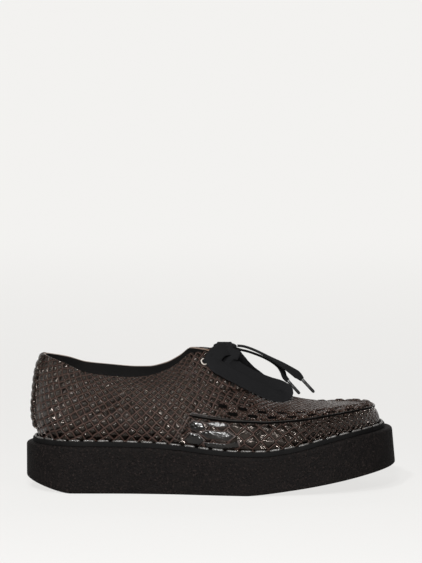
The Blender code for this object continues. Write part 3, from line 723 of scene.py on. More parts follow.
def grown(ring, distance):
    run = np.roll(ring, -1, axis=0) - np.roll(ring, 1, axis=0)
    out = unit(np.stack([run[:, 1], -run[:, 0], np.zeros(len(ring))], axis=1))
    moved = ring.copy()
    moved += out * distance
    return moved


def atHeight(ring, height):
    moved = ring.copy()
    moved[:, 2] = height(ring[:, 0]) if callable(height) else height
    return moved


def loftRings(name, levels, material, cap=True, closed=False, smoothAngle=50):
    count = len(levels[0])
    faces = gridFaces(len(levels), count, closed=True)
    if closed:
        top = (len(levels) - 1) * count
        faces += [(top + i, top + (i + 1) % count, (i + 1) % count, i) for i in range(count)]
    if cap:
        top = (len(levels) - 1) * count
        for i in range(count // 2):
            corners = list(dict.fromkeys([i, i + 1, count - i - 1, (count - i) % count]))
            faces.append([top + c for c in corners])
            faces.append(list(reversed(corners)))
    return linkMesh(name, np.vstack(levels), faces, material, smoothAngle)


soleShares = evenShares(170)
plan = aroundShoe(soleOutline, soleShares)
treadPlan = aroundShoe(lambda share, side: soleOutline(share, side, 1.0), soleShares)
levels = []
for t in np.linspace(0, 1, 5):
    angle = t * math.pi / 2
    inset = sole["treadRound"] * (1 - math.sin(angle))
    lift = sole["treadRound"] * (1 - math.cos(angle))
    levels.append(atHeight(grown(treadPlan, -inset), lambda x, lift=lift: soleBottom(x) + lift))
for t in np.linspace(0.06, 0.97, 14):
    mixed = treadPlan + (plan - treadPlan) * t
    levels.append(atHeight(mixed, lambda x, t=t: (soleBottom(x) + sole["treadRound"]) * (1 - t)
                           + (soleTop(x) - sole["edgeRound"]) * t))
for t in np.linspace(0, 1, 7):
    angle = t * math.pi / 2
    inset = sole["edgeRound"] * (1 - math.cos(angle))
    drop = sole["edgeRound"] * (1 - math.sin(angle))
    levels.append(atHeight(grown(plan, -inset), lambda x, drop=drop: soleTop(x) - drop))
soleBlock = loftRings("soleBlock", levels, soleFoam, smoothAngle=35)
finishPiece(soleBlock, ["outsole"])


def wallAtHeight(share, side, height):
    foot = wallPoint(share, side, np.zeros_like(share))
    cheekPoint = wallPoint(share, side, np.ones_like(share))
    row = np.minimum(height / (cheekPoint[:, 2] - foot[:, 2]), 1.0)
    return wallPoint(share, side, row) * (1, 1, 0)


weltShares = evenShares(150)
footLine = grown(aroundShoe(lambda share, side: wallAtHeight(share, side, 0.0), weltShares), last["gap"])
cheekLine = grown(aroundShoe(lambda share, side: wallAtHeight(share, side, welt["height"]), weltShares),
                  last["gap"] * 2)
outerLine = grown(footLine, welt["width"])


def weltHeight(x, lift):
    return soleTop(x) + last["gap"] + lift


levels = [atHeight(outerLine, lambda x: weltHeight(x, 0))]
for t in np.linspace(0, 1, 5):
    angle = t * math.pi / 2
    inset = welt["round"] * (1 - math.cos(angle))
    lift = welt["height"] - welt["round"] * (1 - math.sin(angle))
    levels.append(atHeight(grown(outerLine, -inset), lambda x, lift=lift: weltHeight(x, lift)))
levels.append(atHeight(cheekLine, lambda x: weltHeight(x, welt["height"])))
levels.append(atHeight(footLine, lambda x: weltHeight(x, 0)))
weltStrip = loftRings("weltStrip", levels, weltBlack, cap=False, closed=True, smoothAngle=40)
finishPiece(weltStrip, ["welt"])


def stitchTree(name, material):
    # rounded stitch on every point, laid along "along" with its back to "up"
    tree = bpy.data.node_groups.new(name, "GeometryNodeTree")
    tree.interface.new_socket("Points", in_out="INPUT", socket_type="NodeSocketGeometry")
    for label, value in (("Length", 0.008), ("Width", 0.002), ("Height", 0.0016), ("Wander", 0.0002)):
        socket = tree.interface.new_socket(label, in_out="INPUT", socket_type="NodeSocketFloat")
        socket.default_value = value
    seed = tree.interface.new_socket("Seed", in_out="INPUT", socket_type="NodeSocketInt")
    seed.default_value = 4
    tree.interface.new_socket("Stitches", in_out="OUTPUT", socket_type="NodeSocketGeometry")
    start = tree.nodes.new("NodeGroupInput")
    end = tree.nodes.new("NodeGroupOutput")
    size = addNode(tree, "ShaderNodeCombineXYZ",
                   {0: start.outputs["Length"], 1: start.outputs["Width"], 2: start.outputs["Height"]})
    block = addNode(tree, "GeometryNodeMeshCube", {"Size": size.outputs[0], "Vertices X": 4})
    soft = addNode(tree, "GeometryNodeSubdivisionSurface", {"Mesh": block.outputs["Mesh"], "Level": 1})
    along = addNode(tree, "GeometryNodeInputNamedAttribute", {"Name": "along"}, data_type="FLOAT_VECTOR")
    upward = addNode(tree, "GeometryNodeInputNamedAttribute", {"Name": "up"}, data_type="FLOAT_VECTOR")
    firstTurn = addNode(tree, "FunctionNodeAlignRotationToVector", {"Vector": along.outputs["Attribute"]}, axis="X")
    secondTurn = addNode(tree, "FunctionNodeAlignRotationToVector",
                         {"Rotation": firstTurn.outputs[0], "Vector": upward.outputs["Attribute"]},
                         axis="Z", pivot_axis="X")
    low = addNode(tree, "ShaderNodeVectorMath", {0: (-1, -1, -1), "Scale": start.outputs["Wander"]}, operation="SCALE")
    high = addNode(tree, "ShaderNodeVectorMath", {0: (1, 1, 1), "Scale": start.outputs["Wander"]}, operation="SCALE")
    wander = addNode(tree, "FunctionNodeRandomValue",
                     {0: low.outputs[0], 1: high.outputs[0], "Seed": start.outputs["Seed"]}, data_type="FLOAT_VECTOR")
    moved = addNode(tree, "GeometryNodeSetPosition",
                    {"Geometry": start.outputs["Points"], "Offset": wander.outputs[0]})
    placed = addNode(tree, "GeometryNodeInstanceOnPoints",
                     {"Points": moved.outputs[0], "Instance": soft.outputs[0], "Rotation": secondTurn.outputs[0]})
    real = addNode(tree, "GeometryNodeRealizeInstances", {"Geometry": placed.outputs[0]})
    soften = addNode(tree, "GeometryNodeSetShadeSmooth", {"Geometry": real.outputs[0]})
    dressed = addNode(tree, "GeometryNodeSetMaterial", {"Geometry": soften.outputs[0], "Material": material})
    tree.links.new(dressed.outputs[0], end.inputs[0])
    return tree


def placeRepeats(name, tree, points, along, upward, material, **sizes):
    # runs a repeat tree on points and keeps the result as a plain mesh
    mesh = bpy.data.meshes.new(name)
    mesh.from_pydata([tuple(map(float, p)) for p in points], [], [])
    for label, values in (("along", along), ("up", upward)):
        layer = mesh.attributes.new(label, "FLOAT_VECTOR", "POINT")
        layer.data.foreach_set("vector", np.asarray(values, np.float32).ravel())
    piece = bpy.data.objects.new(name, mesh)
    scene.collection.objects.link(piece)
    modifier = piece.modifiers.new("Repeat", "NODES")
    modifier.node_group = tree
    for item in tree.interface.items_tree:
        if item.in_out == "INPUT" and item.name in sizes:
            modifier[item.identifier] = sizes[item.name]
    applyModifiers(piece)
    if not piece.data.materials:
        piece.data.materials.append(material)
    return piece


def evenPoints(line, pitch, closed=False):
    # points a pitch apart along a line, with their directions
    line = np.asarray(line, float)
    if closed:
        line = np.vstack([line, line[:1]])
    walked = np.concatenate([[0], np.cumsum(np.linalg.norm(np.diff(line, axis=0), axis=1))])
    count = max(2, int(round(walked[-1] / pitch)))
    at = (np.arange(count) + 0.5) * walked[-1] / count

    def sample(where):
        return np.stack([np.interp(where, walked, line[:, k]) for k in range(3)], axis=1)

    points = sample(at)
    along = unit(sample(at + pitch * 0.1) - sample(at - pitch * 0.1))
    return points, along


seat = grown(atHeight(cheekLine, lambda x: weltHeight(x, welt["height"] + 0.0004)), 0.0019)
points, along = evenPoints(seat, welt["stitchPitch"], closed=True)
upward = np.tile((0.0, 0.0, 1.0), (len(points), 1))
stitches = placeRepeats("weltStitches", stitchTree("weltStitchTree", threadGrey), points, along, upward, threadGrey,
                        Length=welt["stitchLength"], Width=welt["stitchWidth"],
                        Height=welt["stitchHeight"], Wander=0.00015)
finishPiece(stitches)
print("sole and welt ready")


# ---------- upper

upperLook = {
    "columns": 262,
    "ridgeHeight": 0.0017, "ridgeWidth": 0.00090, "grooveDepth": 0.0007,
    "quarterStep": 0.0009, "seamRows": ((0.0, 0.405), (2.0, 0.456), (2.8, 0.515), (4.0, 0.650)),
    "arcAround": 0.105, "arcHeight": 0.200, "arcScale": 0.0460,
    "toeScale": 5.4, "ballScale": 13.0, "fineScale": 4.4,
}


def seamShare(row):
    return np.interp(row, [r[0] for r in upperLook["seamRows"]], [r[1] for r in upperLook["seamRows"]])


baseShares = evenShares(upperLook["columns"] + 1)
anchor = baseShares[np.abs(baseShares - 0.43).argmin()]
rowSteps = np.concatenate([
    np.linspace(0, 1, 13)[:-1], np.linspace(1, 1.86, 14)[:-1], np.linspace(1.86, 2.14, 12)[:-1],
    np.linspace(2.14, 3, 18)[:-1], np.linspace(3, 3.9, 18)[:-1], np.linspace(3.9, 4, 4),
])
rowCount = len(rowSteps)


def wallSharesAt(row):
    # one column of points follows the quarter's front edge
    seam = seamShare(row)
    return np.where(baseShares <= anchor, baseShares * seam / anchor,
                    1 - (1 - baseShares) * (1 - seam) / (1 - anchor))


def upperSide(side):
    shares = np.stack([wallSharesAt(row) for row in rowSteps])
    rowsAt = np.repeat(rowSteps[:, None], shares.shape[1], axis=1)
    surface = wallPoint(shares, side, rowsAt)
    normals = wallNormal(shares, side, rowsAt)
    around = np.interp(shares, fineShares, perimeter)
    climb = np.concatenate([np.zeros((1, shares.shape[1])),
                            np.cumsum(np.linalg.norm(np.diff(surface, axis=0), axis=2), axis=0)])
    ridgeIndex = int(np.abs(rowSteps - 2.0).argmin())
    fromRidge = climb - climb[ridgeIndex]
    return shares, rowsAt, surface, normals, around, climb, fromRidge


creases = (
    # height, width, places as (share, row)
    (0.0012, 0.0013, ((0.179, 1.87), (0.193, 1.75), (0.211, 1.74), (0.231, 1.96), (0.251, 2.09), (0.271, 2.06),
                      (0.288, 1.88), (0.303, 1.65))),
    (0.0011, 0.0012, ((0.182, 1.55), (0.196, 1.74), (0.211, 1.93))),
    (0.0006, 0.0012, ((0.308, 3.04), (0.329, 2.71), (0.346, 2.52))),
    (0.0005, 0.0014, ((0.119, 1.44), (0.142, 1.65), (0.168, 1.75))),
)


def creaseLift(surface, side):
    # soft folds of the worn quarter, fading out at their ends
    lift = np.zeros(surface.shape[:2])
    for height, width, places in creases:
        places = np.array(places)
        at = np.linspace(0, len(places) - 1, 50)
        line = wallPoint(np.interp(at, np.arange(len(places)), places[:, 0]), side,
                         np.interp(at, np.arange(len(places)), places[:, 1]))
        away = np.linalg.norm(surface[:, :, None, :] - line[None, None, :, :], axis=3)
        fade = np.sin(math.pi * np.linspace(0.08, 0.92, 50))[away.argmin(axis=2)]
        near = away.min(axis=2) / width
        lift += height * fade * (np.exp(-near ** 2) - 0.35 * np.exp(-((near - 2.2) / 1.1) ** 2))
    return lift


def upperLift(shares, rowsAt, fromRidge):
    # relief on the wall, in metres
    seam = seamShare(rowsAt)
    ahead = np.interp(shares, fineShares, perimeter) - np.interp(seam, fineShares, perimeter)
    ridgeOn = smoothStep(0.425, 0.475, shares)
    ridge = upperLook["ridgeHeight"] * np.exp(-(fromRidge / upperLook["ridgeWidth"]) ** 2)
    groove = -upperLook["grooveDepth"] * np.exp(-((fromRidge + 0.0023) / 0.0009) ** 2)
    lift = ridgeOn * (ridge + groove)
    below = rowsAt < 2.02
    step = upperLook["quarterStep"] * (1 - smoothStep(-0.0006, 0.0009, ahead)) * smoothStep(-0.030, -0.004, ahead)
    step = step - 0.0005 * np.exp(-((ahead - 0.0012) / 0.0009) ** 2)
    lift = lift + np.where(below, step, step * 0.4)
    return lift


def quarterMapAt(side, around, climb):
    # arcs round a point above the collar: scales keep their shape and grow with the distance from it
    across = around - upperLook["arcAround"]
    down = upperLook["arcHeight"] - climb
    reach = np.hypot(across, down)
    turn = side * np.arctan2(across, down) / upperLook["arcScale"]
    return np.stack([turn, -np.log(reach) / upperLook["arcScale"]], axis=-1)


def quarterCells(side, around, path):
    # map of the last points of paths that climb the wall
    climb = np.linalg.norm(np.diff(path, axis=0), axis=2).sum(axis=0)
    return quarterMapAt(side, around, climb)


def upperMaps(side, around, climb):
    quarterMap = quarterMapAt(side, around, climb)
    fromToe = halfPerimeter - around
    # scale size grows from the toe back to the ball of the foot
    table = np.linspace(0, halfPerimeter, 800)
    sizes = (upperLook["toeScale"] + (upperLook["ballScale"] - upperLook["toeScale"])
             * smoothStep(0.070, 0.125, table)) / 1000
    counted = np.concatenate([[0], np.cumsum(np.diff(table) / ((sizes[1:] + sizes[:-1]) / 2))])
    vampU = side * np.interp(fromToe, table, counted)
    vampV = climb / np.interp(fromToe, table, sizes)
    vampMap = np.stack([vampU, vampV], axis=-1)
    return quarterMap, vampMap


sideData = {side: upperSide(side) for side in (outerSide, innerSide)}
points, quarterUv, vampUv, fineUv = [], [], [], []
for side in (outerSide, innerSide):
    shares, rowsAt, surface, normals, around, climb, fromRidge = sideData[side]
    lift = upperLift(shares, rowsAt, fromRidge) + creaseLift(surface, side)
    placed = surface + normals * lift[..., None]
    quarterMap, vampMap = upperMaps(side, around, climb)
    fineMap = surface[..., :2] * 1000 / upperLook["fineScale"]
    points.append(placed)
    quarterUv.append(quarterMap)
    vampUv.append(vampMap)
    fineUv.append(fineMap)

columnCount = points[0].shape[1]
allPoints, faces, faceMaterial = [], [], []
for number, side in enumerate((outerSide, innerSide)):
    offset = number * rowCount * columnCount
    allPoints.append(points[number].reshape(-1, 3))
    shares, rowsAt = sideData[side][0], sideData[side][1]
    for j in range(rowCount - 1):
        for i in range(columnCount - 1):
            a = offset + j * columnCount + i
            quad = (a, a + 1, a + columnCount + 1, a + columnCount)
            faces.append(quad if side == outerSide else tuple(reversed(quad)))
            rowHere = (rowsAt[j, i] + rowsAt[j + 1, i]) / 2
            isQuarter = (baseShares[i] + baseShares[i + 1]) / 2 < anchor
            plateau = (not isQuarter) and rowHere > 2.0
            kind = 0 if isQuarter else (2 if plateau else 1)
            if plateau and shares[j, i] < 0.62:
                kind = 0
            # the ridge takes its own leather; the strip just under it takes the near-black painted shade of the ridge
            if baseShares[i] > 0.425 and 1.90 < rowHere < 2.075:
                kind = 5 if rowHere > 1.955 else 6
            faceMaterial.append(kind)
upper = linkMesh("scaledUpper", np.vstack(allPoints), faces, quarterLeather, 0)
for material in (vampLeather, fineLeather, liningBlack, edgeLeather, ridgeLeather, paintedShade):
    upper.data.materials.append(material)
upper.data.polygons.foreach_set("material_index", np.array(faceMaterial, np.int32))
paintUv(upper, "quarterMap", np.vstack([m.reshape(-1, 2) for m in quarterUv]))
paintUv(upper, "vampMap", np.vstack([m.reshape(-1, 2) for m in vampUv]))
paintUv(upper, "fineMap", np.vstack([m.reshape(-1, 2) for m in fineUv]))
weld(upper)
solid = upper.modifiers.new("Thickness", "SOLIDIFY")
solid.thickness = last["wall"]
solid.offset = -1
solid.use_quality_normals = True
applyModifiers(upper)
# the inner skin and the edges get the lining and the cut edge's finish
count = len(upper.data.polygons)
outerCount = len(faces)
index = np.zeros(count, np.int32)
upper.data.polygons.foreach_get("material_index", index)
index[outerCount:2 * outerCount] = 3
index[2 * outerCount:] = 4
upper.data.polygons.foreach_set("material_index", index)
upper.data.shade_smooth()
upper.data.set_sharp_from_angle(angle=math.radians(55))
finishPiece(upper, ["upper"])
print("upper ready")


# ---------- pieces laid on the upper

def overlayPiece(name, gridPoints, gridNormals, thickness, material, uvName, uvValues, edgeShare=0.35,
                 flip=False, edgeSteps=2):
    # thin leather piece with a softened edge, from a grid of points on the wall
    rowsIn, columnsIn = gridPoints.shape[:2]
    depth = np.full((rowsIn, columnsIn), 1.0)
    for k in range(edgeSteps):
        share = edgeShare + (1 - edgeShare) * math.sin(math.pi / 2 * k / edgeSteps)
        depth[k, :] = np.minimum(depth[k, :], share)
        depth[-1 - k, :] = np.minimum(depth[-1 - k, :], share)
        depth[:, k] = np.minimum(depth[:, k], share)
        depth[:, -1 - k] = np.minimum(depth[:, -1 - k], share)
    low = gridPoints
    high = gridPoints + gridNormals * (depth * thickness)[..., None]
    count = rowsIn * columnsIn
    faces = gridFaces(rowsIn, columnsIn)
    under = [tuple(reversed([v + count for v in f])) for f in faces]
    rim = [i for i in range(columnsIn)]
    rim += [j * columnsIn + columnsIn - 1 for j in range(1, rowsIn)]
    rim += [(rowsIn - 1) * columnsIn + i for i in range(columnsIn - 2, -1, -1)]
    rim += [j * columnsIn for j in range(rowsIn - 2, 0, -1)]
    sides = []
    for k in range(len(rim)):
        a, b = rim[k], rim[(k + 1) % len(rim)]
        sides.append((b, a, a + count, b + count))
    allFaces = faces + under + sides
    if flip:
        allFaces = [tuple(reversed(f)) for f in allFaces]
    piece = linkMesh(name, np.vstack([high.reshape(-1, 3), low.reshape(-1, 3)]), allFaces, material, 60)
    flat = np.asarray(uvValues).reshape(-1, 2)
    paintUv(piece, uvName, np.vstack([flat, flat]))
    return piece


facing = {"gap": 0.0006, "thick": 0.0014, "back": 0.44, "front": 0.650, "toe": 0.515,
          "eyelet": 0.0042, "eyeletRow": 3.62, "upperEyelet": 0.488, "lowerEyelet": 0.580}


def makeFacing(name, side, node):
    # the quarter's own leather, thicker round the eyelets, so only its front edge shows
    rowsHere = np.linspace(2.8, 4.0, 40)
    lowRows = np.linspace(0, 2.8, 30)
    grid, normal, depth, maps = [], [], [], []
    for j, row in enumerate(rowsHere):
        t = (row - 2.8) / 1.2
        front = facing["toe"] + (facing["front"] - facing["toe"]) * t * (2 - t)
        shares = np.linspace(facing["back"], front, 70)
        rowAll = np.full(70, row)
        n = wallNormal(shares, side, rowAll)
        wallHere = wallPoint(shares, side, rowAll)
        toFront = (np.interp(front, fineShares, perimeter) - np.interp(shares, fineShares, perimeter))
        fromBack = np.interp(shares, fineShares, perimeter) - np.interp(facing["back"], fineShares, perimeter)
        blend = smoothStep(0.0005, 0.016, fromBack) * smoothStep(2.80, 3.15, rowAll)
        edge = 0.45 + 0.55 * np.sqrt(np.clip(toFront / 0.0012, 0, 1))
        grid.append(wallHere - n * 0.0004)
        normal.append(n)
        depth.append(0.0002 + (0.0004 + facing["gap"] + facing["thick"]) * np.maximum(blend, 0.0) * edge)
        path = wallPoint(shares[None, :], side, np.concatenate([lowRows, np.linspace(2.8, row, 12)])[:, None])
        maps.append(quarterCells(side, np.interp(shares, fineShares, perimeter), path))
    grid, normal, depth, maps = np.array(grid), np.array(normal), np.array(depth), np.array(maps)
    piece = overlayPiece(name, grid, normal * depth[..., None], 1.0, quarterLeather, "quarterMap", maps,
                         edgeShare=1.0, flip=side == innerSide)
    for share in (facing["upperEyelet"], facing["lowerEyelet"]):
        centre = Vector(wallPoint(np.array(share), side, np.array(facing["eyeletRow"])))
        out = Vector(wallNormal(np.array(share), side, np.array(facing["eyeletRow"])))
        mesh = bpy.data.meshes.new("eyeletPunch")
        work = bmesh.new()
        bmesh.ops.create_cone(work, cap_ends=True, segments=28, radius1=facing["eyelet"] / 2,
                              radius2=facing["eyelet"] / 2, depth=0.009)
        work.transform(out.to_track_quat("Z", "Y").to_matrix().to_4x4())
        bmesh.ops.translate(work, verts=work.verts, vec=centre)
        work.to_mesh(mesh)
        work.free()
        punch = bpy.data.objects.new("eyeletPunch", mesh)
        scene.collection.objects.link(punch)
        cut = piece.modifiers.new("Punch", "BOOLEAN")
        cut.operation = "DIFFERENCE"
        cut.object = punch
        applyModifiers(piece)
        bpy.data.objects.remove(punch)
    finishPiece(piece, [node])
    return piece


makeFacing("outerFacing", outerSide, "facing_outer")
makeFacing("innerFacing", innerSide, "facing_inner")


def makeBackstay():
    rowsHere = np.linspace(0.5, 4.0, 60)
    halfWidth = 0.0085
    grid, normal, maps = [], [], []
    climb = 0
    previous = None
    for row in rowsHere:
        line, lineNormals = [], []
        for side in (innerSide, outerSide):
            shares = np.linspace(0, 0.12, 400)
            surface = wallPoint(shares, side, np.full(400, row))
            away = np.abs(surface[:, 1] - surface[0, 1])
            reach = np.interp(halfWidth, away, shares) if away.max() > halfWidth else shares[-1]
            picked = np.linspace(0, 1, 12) * reach
            if side == innerSide:
                picked = picked[::-1]
            else:
                picked = picked[1:]
            line.append(wallPoint(picked, side, np.full(len(picked), row)))
            lineNormals.append(wallNormal(picked, side, np.full(len(picked), row)))
        line, lineNormals = np.vstack(line), np.vstack(lineNormals)
        centre = line[11]
        if previous is not None:
            climb += np.linalg.norm(centre - previous)
        previous = centre
        # large plates down the heel, each with its lower edge proud
        phase = (climb / 0.0062) % 1.0
        swell = 0.0009 * (math.sin(math.pi * phase) ** 0.8)
        across = np.linspace(-1, 1, len(line))
        middleOn = np.clip(1 - (np.abs(across) / 0.72) ** 4, 0, 1)
        grid.append(line + lineNormals * (last["gap"] + swell * middleOn)[:, None])
        normal.append(lineNormals)
        maps.append(np.stack([across * 1.35, np.full(len(line), climb / 0.0062)], axis=-1))
    piece = overlayPiece("heelStrip", np.array(grid), np.array(normal), 0.0014, vampLeather, "vampMap",
                         np.array(maps))
    finishPiece(piece, ["backstay"])
    return piece


makeBackstay()

seam = {"pitch": 0.0030, "length": 0.0023, "width": 0.0008, "height": 0.0006, "offsets": (0.0018, 0.0042)}


def makeSeam(name, side):
    # two rows of stitches just behind the quarter's front edge, below the ridge
    spots, along, upward = [], [], []
    rowsHere = np.linspace(0.55, 1.9, 60)
    for offset in seam["offsets"]:
        at = np.interp(np.interp(seamShare(rowsHere), fineShares, perimeter) - offset, perimeter, fineShares)
        out = wallNormal(at, side, rowsHere)
        line = wallPoint(at, side, rowsHere) + out * (upperLook["quarterStep"] * 0.9)
        points, run = evenPoints(line, seam["pitch"])
        nearest = np.argmin(np.linalg.norm(line[None] - points[:, None], axis=2), axis=1)
        spots.append(points)
        along.append(run)
        upward.append(out[nearest])
    piece = placeRepeats(name, stitchTree(name + "Tree", seamThread), np.vstack(spots), np.vstack(along),
                         np.vstack(upward), seamThread, Length=seam["length"], Width=seam["width"],
                         Height=seam["height"], Wander=0.00005, Seed=7)
    finishPiece(piece)
    return piece


makeSeam("outerSeam", outerSide)
makeSeam("innerSeam", innerSide)


plates = {
    "hexagon": ((0.4805, 1.19), (0.5005, 0.962), (0.5577, 0.942), (0.575, 1.226), (0.5548, 1.451), (0.5005, 1.395)),
    "pentagon": ((0.4489, 1.579), (0.4602, 1.756), (0.4861, 1.739), (0.4948, 1.515), (0.4745, 1.287),
                 (0.4545, 1.331)),
    "lowPentagon": ((0.4345, 0.705), (0.4516, 1.098), (0.4745, 1.086), (0.4918, 0.822), (0.4775, 0.461),
                    (0.4432, 0.477)),
    "strip": ((0.4945, 1.76), (0.5204, 1.86), (0.5548, 1.852), (0.5607, 1.719), (0.5291, 1.619), (0.5032, 1.639)),
    "smooth": ((0.4918, 0.697), (0.5204, 0.737), (0.5607, 0.762), (0.5834, 0.978), (0.5893, 0.641), (0.552, 0.385),
               (0.4975, 0.325)),
}
plateSteps = ((1.13, -0.0004), (1.13, 0.0004), (1.02, 0.0005), (0.98, 0.0007), (0.90, 0.0011), (0.70, 0.0012),
              (0.35, 0.0013))


def makePlates(name, side):
    # large single scales on the vamp beside the seam, each on a bed of groove leather
    points, faces, kinds = [], [], []
    for corners in plates.values():
        corners = np.array(corners)
        heart = corners.mean(axis=0)
        ring = np.concatenate([corners[i] + (corners[(i + 1) % len(corners)] - corners[i]) * np.linspace(0, 1, 7)[:-1, None]
                               for i in range(len(corners))])
        count, start = len(ring), len(points)
        for grow, lift in plateSteps:
            spot = heart + (ring - heart) * grow
            out = wallNormal(spot[:, 0], side, spot[:, 1])
            points += list(wallPoint(spot[:, 0], side, spot[:, 1]) + out * lift)
        for lift in (plateSteps[-1][1], plateSteps[0][1]):
            points.append(wallPoint(heart[0], side, heart[1]) + wallNormal(heart[0], side, heart[1]) * lift)
        top = start + count * len(plateSteps)
        for j in range(len(plateSteps) - 1):
            for i in range(count):
                a, b = start + j * count + i, start + j * count + (i + 1) % count
                faces.append((a, b, b + count, a + count))
                kinds.append(1 if j < 2 else 0)
        for i in range(count):
            inmost = start + (len(plateSteps) - 1) * count
            faces.append((inmost + i, inmost + (i + 1) % count, top))
            faces.append((start + (i + 1) % count, start + i, top + 1))
            kinds += [0, 1]
    piece = linkMesh(name, points, faces, plateLeather, 60)
    piece.data.materials.append(plateBed)
    piece.data.polygons.foreach_set("material_index", np.array(kinds, np.int32))
    work = bmesh.new()
    work.from_mesh(piece.data)
    bmesh.ops.recalc_face_normals(work, faces=work.faces)
    work.to_mesh(piece.data)
    work.free()
    finishPiece(piece)
    return piece


makePlates("outerPlates", outerSide)
makePlates("innerPlates", innerSide)


def makeEyeletRims():
    # pale grey raised ring round each punched hole
    points, faces = [], []
    for side in (outerSide, innerSide):
        for share in (facing["upperEyelet"], facing["lowerEyelet"]):
            at, row = np.array(share), np.array(facing["eyeletRow"])
            out = wallNormal(at, side, row)
            centre = wallPoint(at, side, row) + out * (facing["gap"] + facing["thick"] + 0.0002)
            first = unit(np.cross(out, (1.0, 0.0, 0.0)))
            second = np.cross(out, first)
            start = len(points)
            for i in range(32):
                angle = tau * i / 32
                ray = first * math.cos(angle) + second * math.sin(angle)
                for k in range(8):
                    turn = tau * k / 8
                    points.append(centre + ray * (facing["eyelet"] / 2 + 0.0004 + 0.0005 * math.cos(turn))
                                  + out * 0.0005 * math.sin(turn))
            for i in range(32):
                for k in range(8):
                    a, b = start + i * 8, start + (i + 1) % 32 * 8
                    faces.append((a + k, b + k, b + (k + 1) % 8, a + (k + 1) % 8))
    rims = linkMesh("eyeletRims", points, faces, rimGrey, 0)
    work = bmesh.new()
    work.from_mesh(rims.data)
    bmesh.ops.recalc_face_normals(work, faces=work.faces)
    work.to_mesh(rims.data)
    work.free()
    finishPiece(rims)
    return rims


makeEyeletRims()

band = {"start": 0.53, "rows": (2.12, 2.80), "width": 0.0115, "pitch": 0.0160, "rowsAcross": 2, "thick": 0.0009,
        "raise": 0.0011}


def makeBand():
    shares = evenShares(900)
    shares = shares[shares >= band["start"]]
    acrossSteps = np.linspace(0, 1, 25)
    probe = np.linspace(band["rows"][0], band["rows"][1], 40)
    columns = []
    for side, line in ((outerSide, shares), (innerSide, shares[::-1][1:])):
        columns += [(side, share) for share in line]
    grid = np.zeros((len(acrossSteps), len(columns), 3))
    normal = np.zeros_like(grid)
    for side in (outerSide, innerSide):
        picked = [i for i, c in enumerate(columns) if c[0] == side]
        sh = np.array([columns[i][1] for i in picked])
        climb = wallPoint(sh[None, :], side, probe[:, None])
        climb = np.concatenate([np.zeros((1, len(sh))), np.cumsum(np.linalg.norm(np.diff(climb, axis=0), axis=2), axis=0)])
        rowsHere = np.stack([np.interp(acrossSteps * min(c[-1], band["width"]), c, probe) for c in climb.T], axis=1)
        grid[:, picked] = wallPoint(sh[None, :], side, rowsHere)
        normal[:, picked] = wallNormal(sh[None, :], side, rowsHere)
    centreLine = grid[len(acrossSteps) // 2]
    walked = np.concatenate([[0], np.cumsum(np.linalg.norm(np.diff(centreLine, axis=0), axis=1))])
    across = np.linspace(0, 1, len(acrossSteps))[:, None] * band["rowsAcross"]
    lane = np.clip(across.astype(int), 0, band["rowsAcross"] - 1)
    inLane = across - lane
    phase = (walked[None, :] / band["pitch"] + 0.5 * lane) % 1.0
    # over: raised pad; under: a sunken slot between two pads, painted near-black as shade
    pad = smoothStep(0.0, 0.16, phase) * (1 - smoothStep(0.44, 0.60, phase))
    laneShape = smoothStep(0.0, 0.22, inLane) * (1 - smoothStep(0.78, 1.0, inLane))
    raised = pad * laneShape
    slotShape = smoothStep(0.46, 0.52, phase) * (1 - smoothStep(0.94, 1.0, phase))
    slotShape = slotShape * smoothStep(0.10, 0.22, inLane) * (1 - smoothStep(0.74, 0.86, inLane))
    lift = 0.0002 + band["thick"] + band["raise"] * raised - 0.0009 * slotShape
    lift = np.maximum(lift, 0.0003)
    lift[0, :] = lift[-1, :] = 0.0005
    lift[:, 0] = lift[:, -1] = 0.0005
    low = grid + normal * 0.0001
    maps = np.stack([np.broadcast_to(walked[None, :] / 0.0042, lift.shape),
                     np.broadcast_to(across * 6.5 / 4.2, lift.shape)], axis=-1)
    piece = overlayPiece("wovenBand", low, normal, 0.0005, fineLeather, "fineMap", maps, edgeShare=1.0)
    # the top skin takes the woven relief
    top = grid + normal * lift[..., None]
    coords = np.zeros(len(piece.data.vertices) * 3, np.float32)
    piece.data.vertices.foreach_get("co", coords)
    coords = coords.reshape(-1, 3)
    coords[:top.shape[0] * top.shape[1]] = top.reshape(-1, 3)
    piece.data.vertices.foreach_set("co", coords.ravel())
    # the sunken slots take the near-black painted shade
    piece.data.materials.append(paintedShade)
    rowsIn, columnsIn = lift.shape
    paintedShadeMask = slotShape > 0.45
    index = np.zeros(len(piece.data.polygons), np.int32)
    k = 0
    for j in range(rowsIn - 1):
        for i in range(columnsIn - 1):
            if paintedShadeMask[j, i] and paintedShadeMask[j + 1, i + 1]:
                index[k] = 1
            k += 1
    piece.data.polygons.foreach_set("material_index", index)
    piece.data.update()
    finishPiece(piece, ["woven_band"])
    return piece


makeBand()


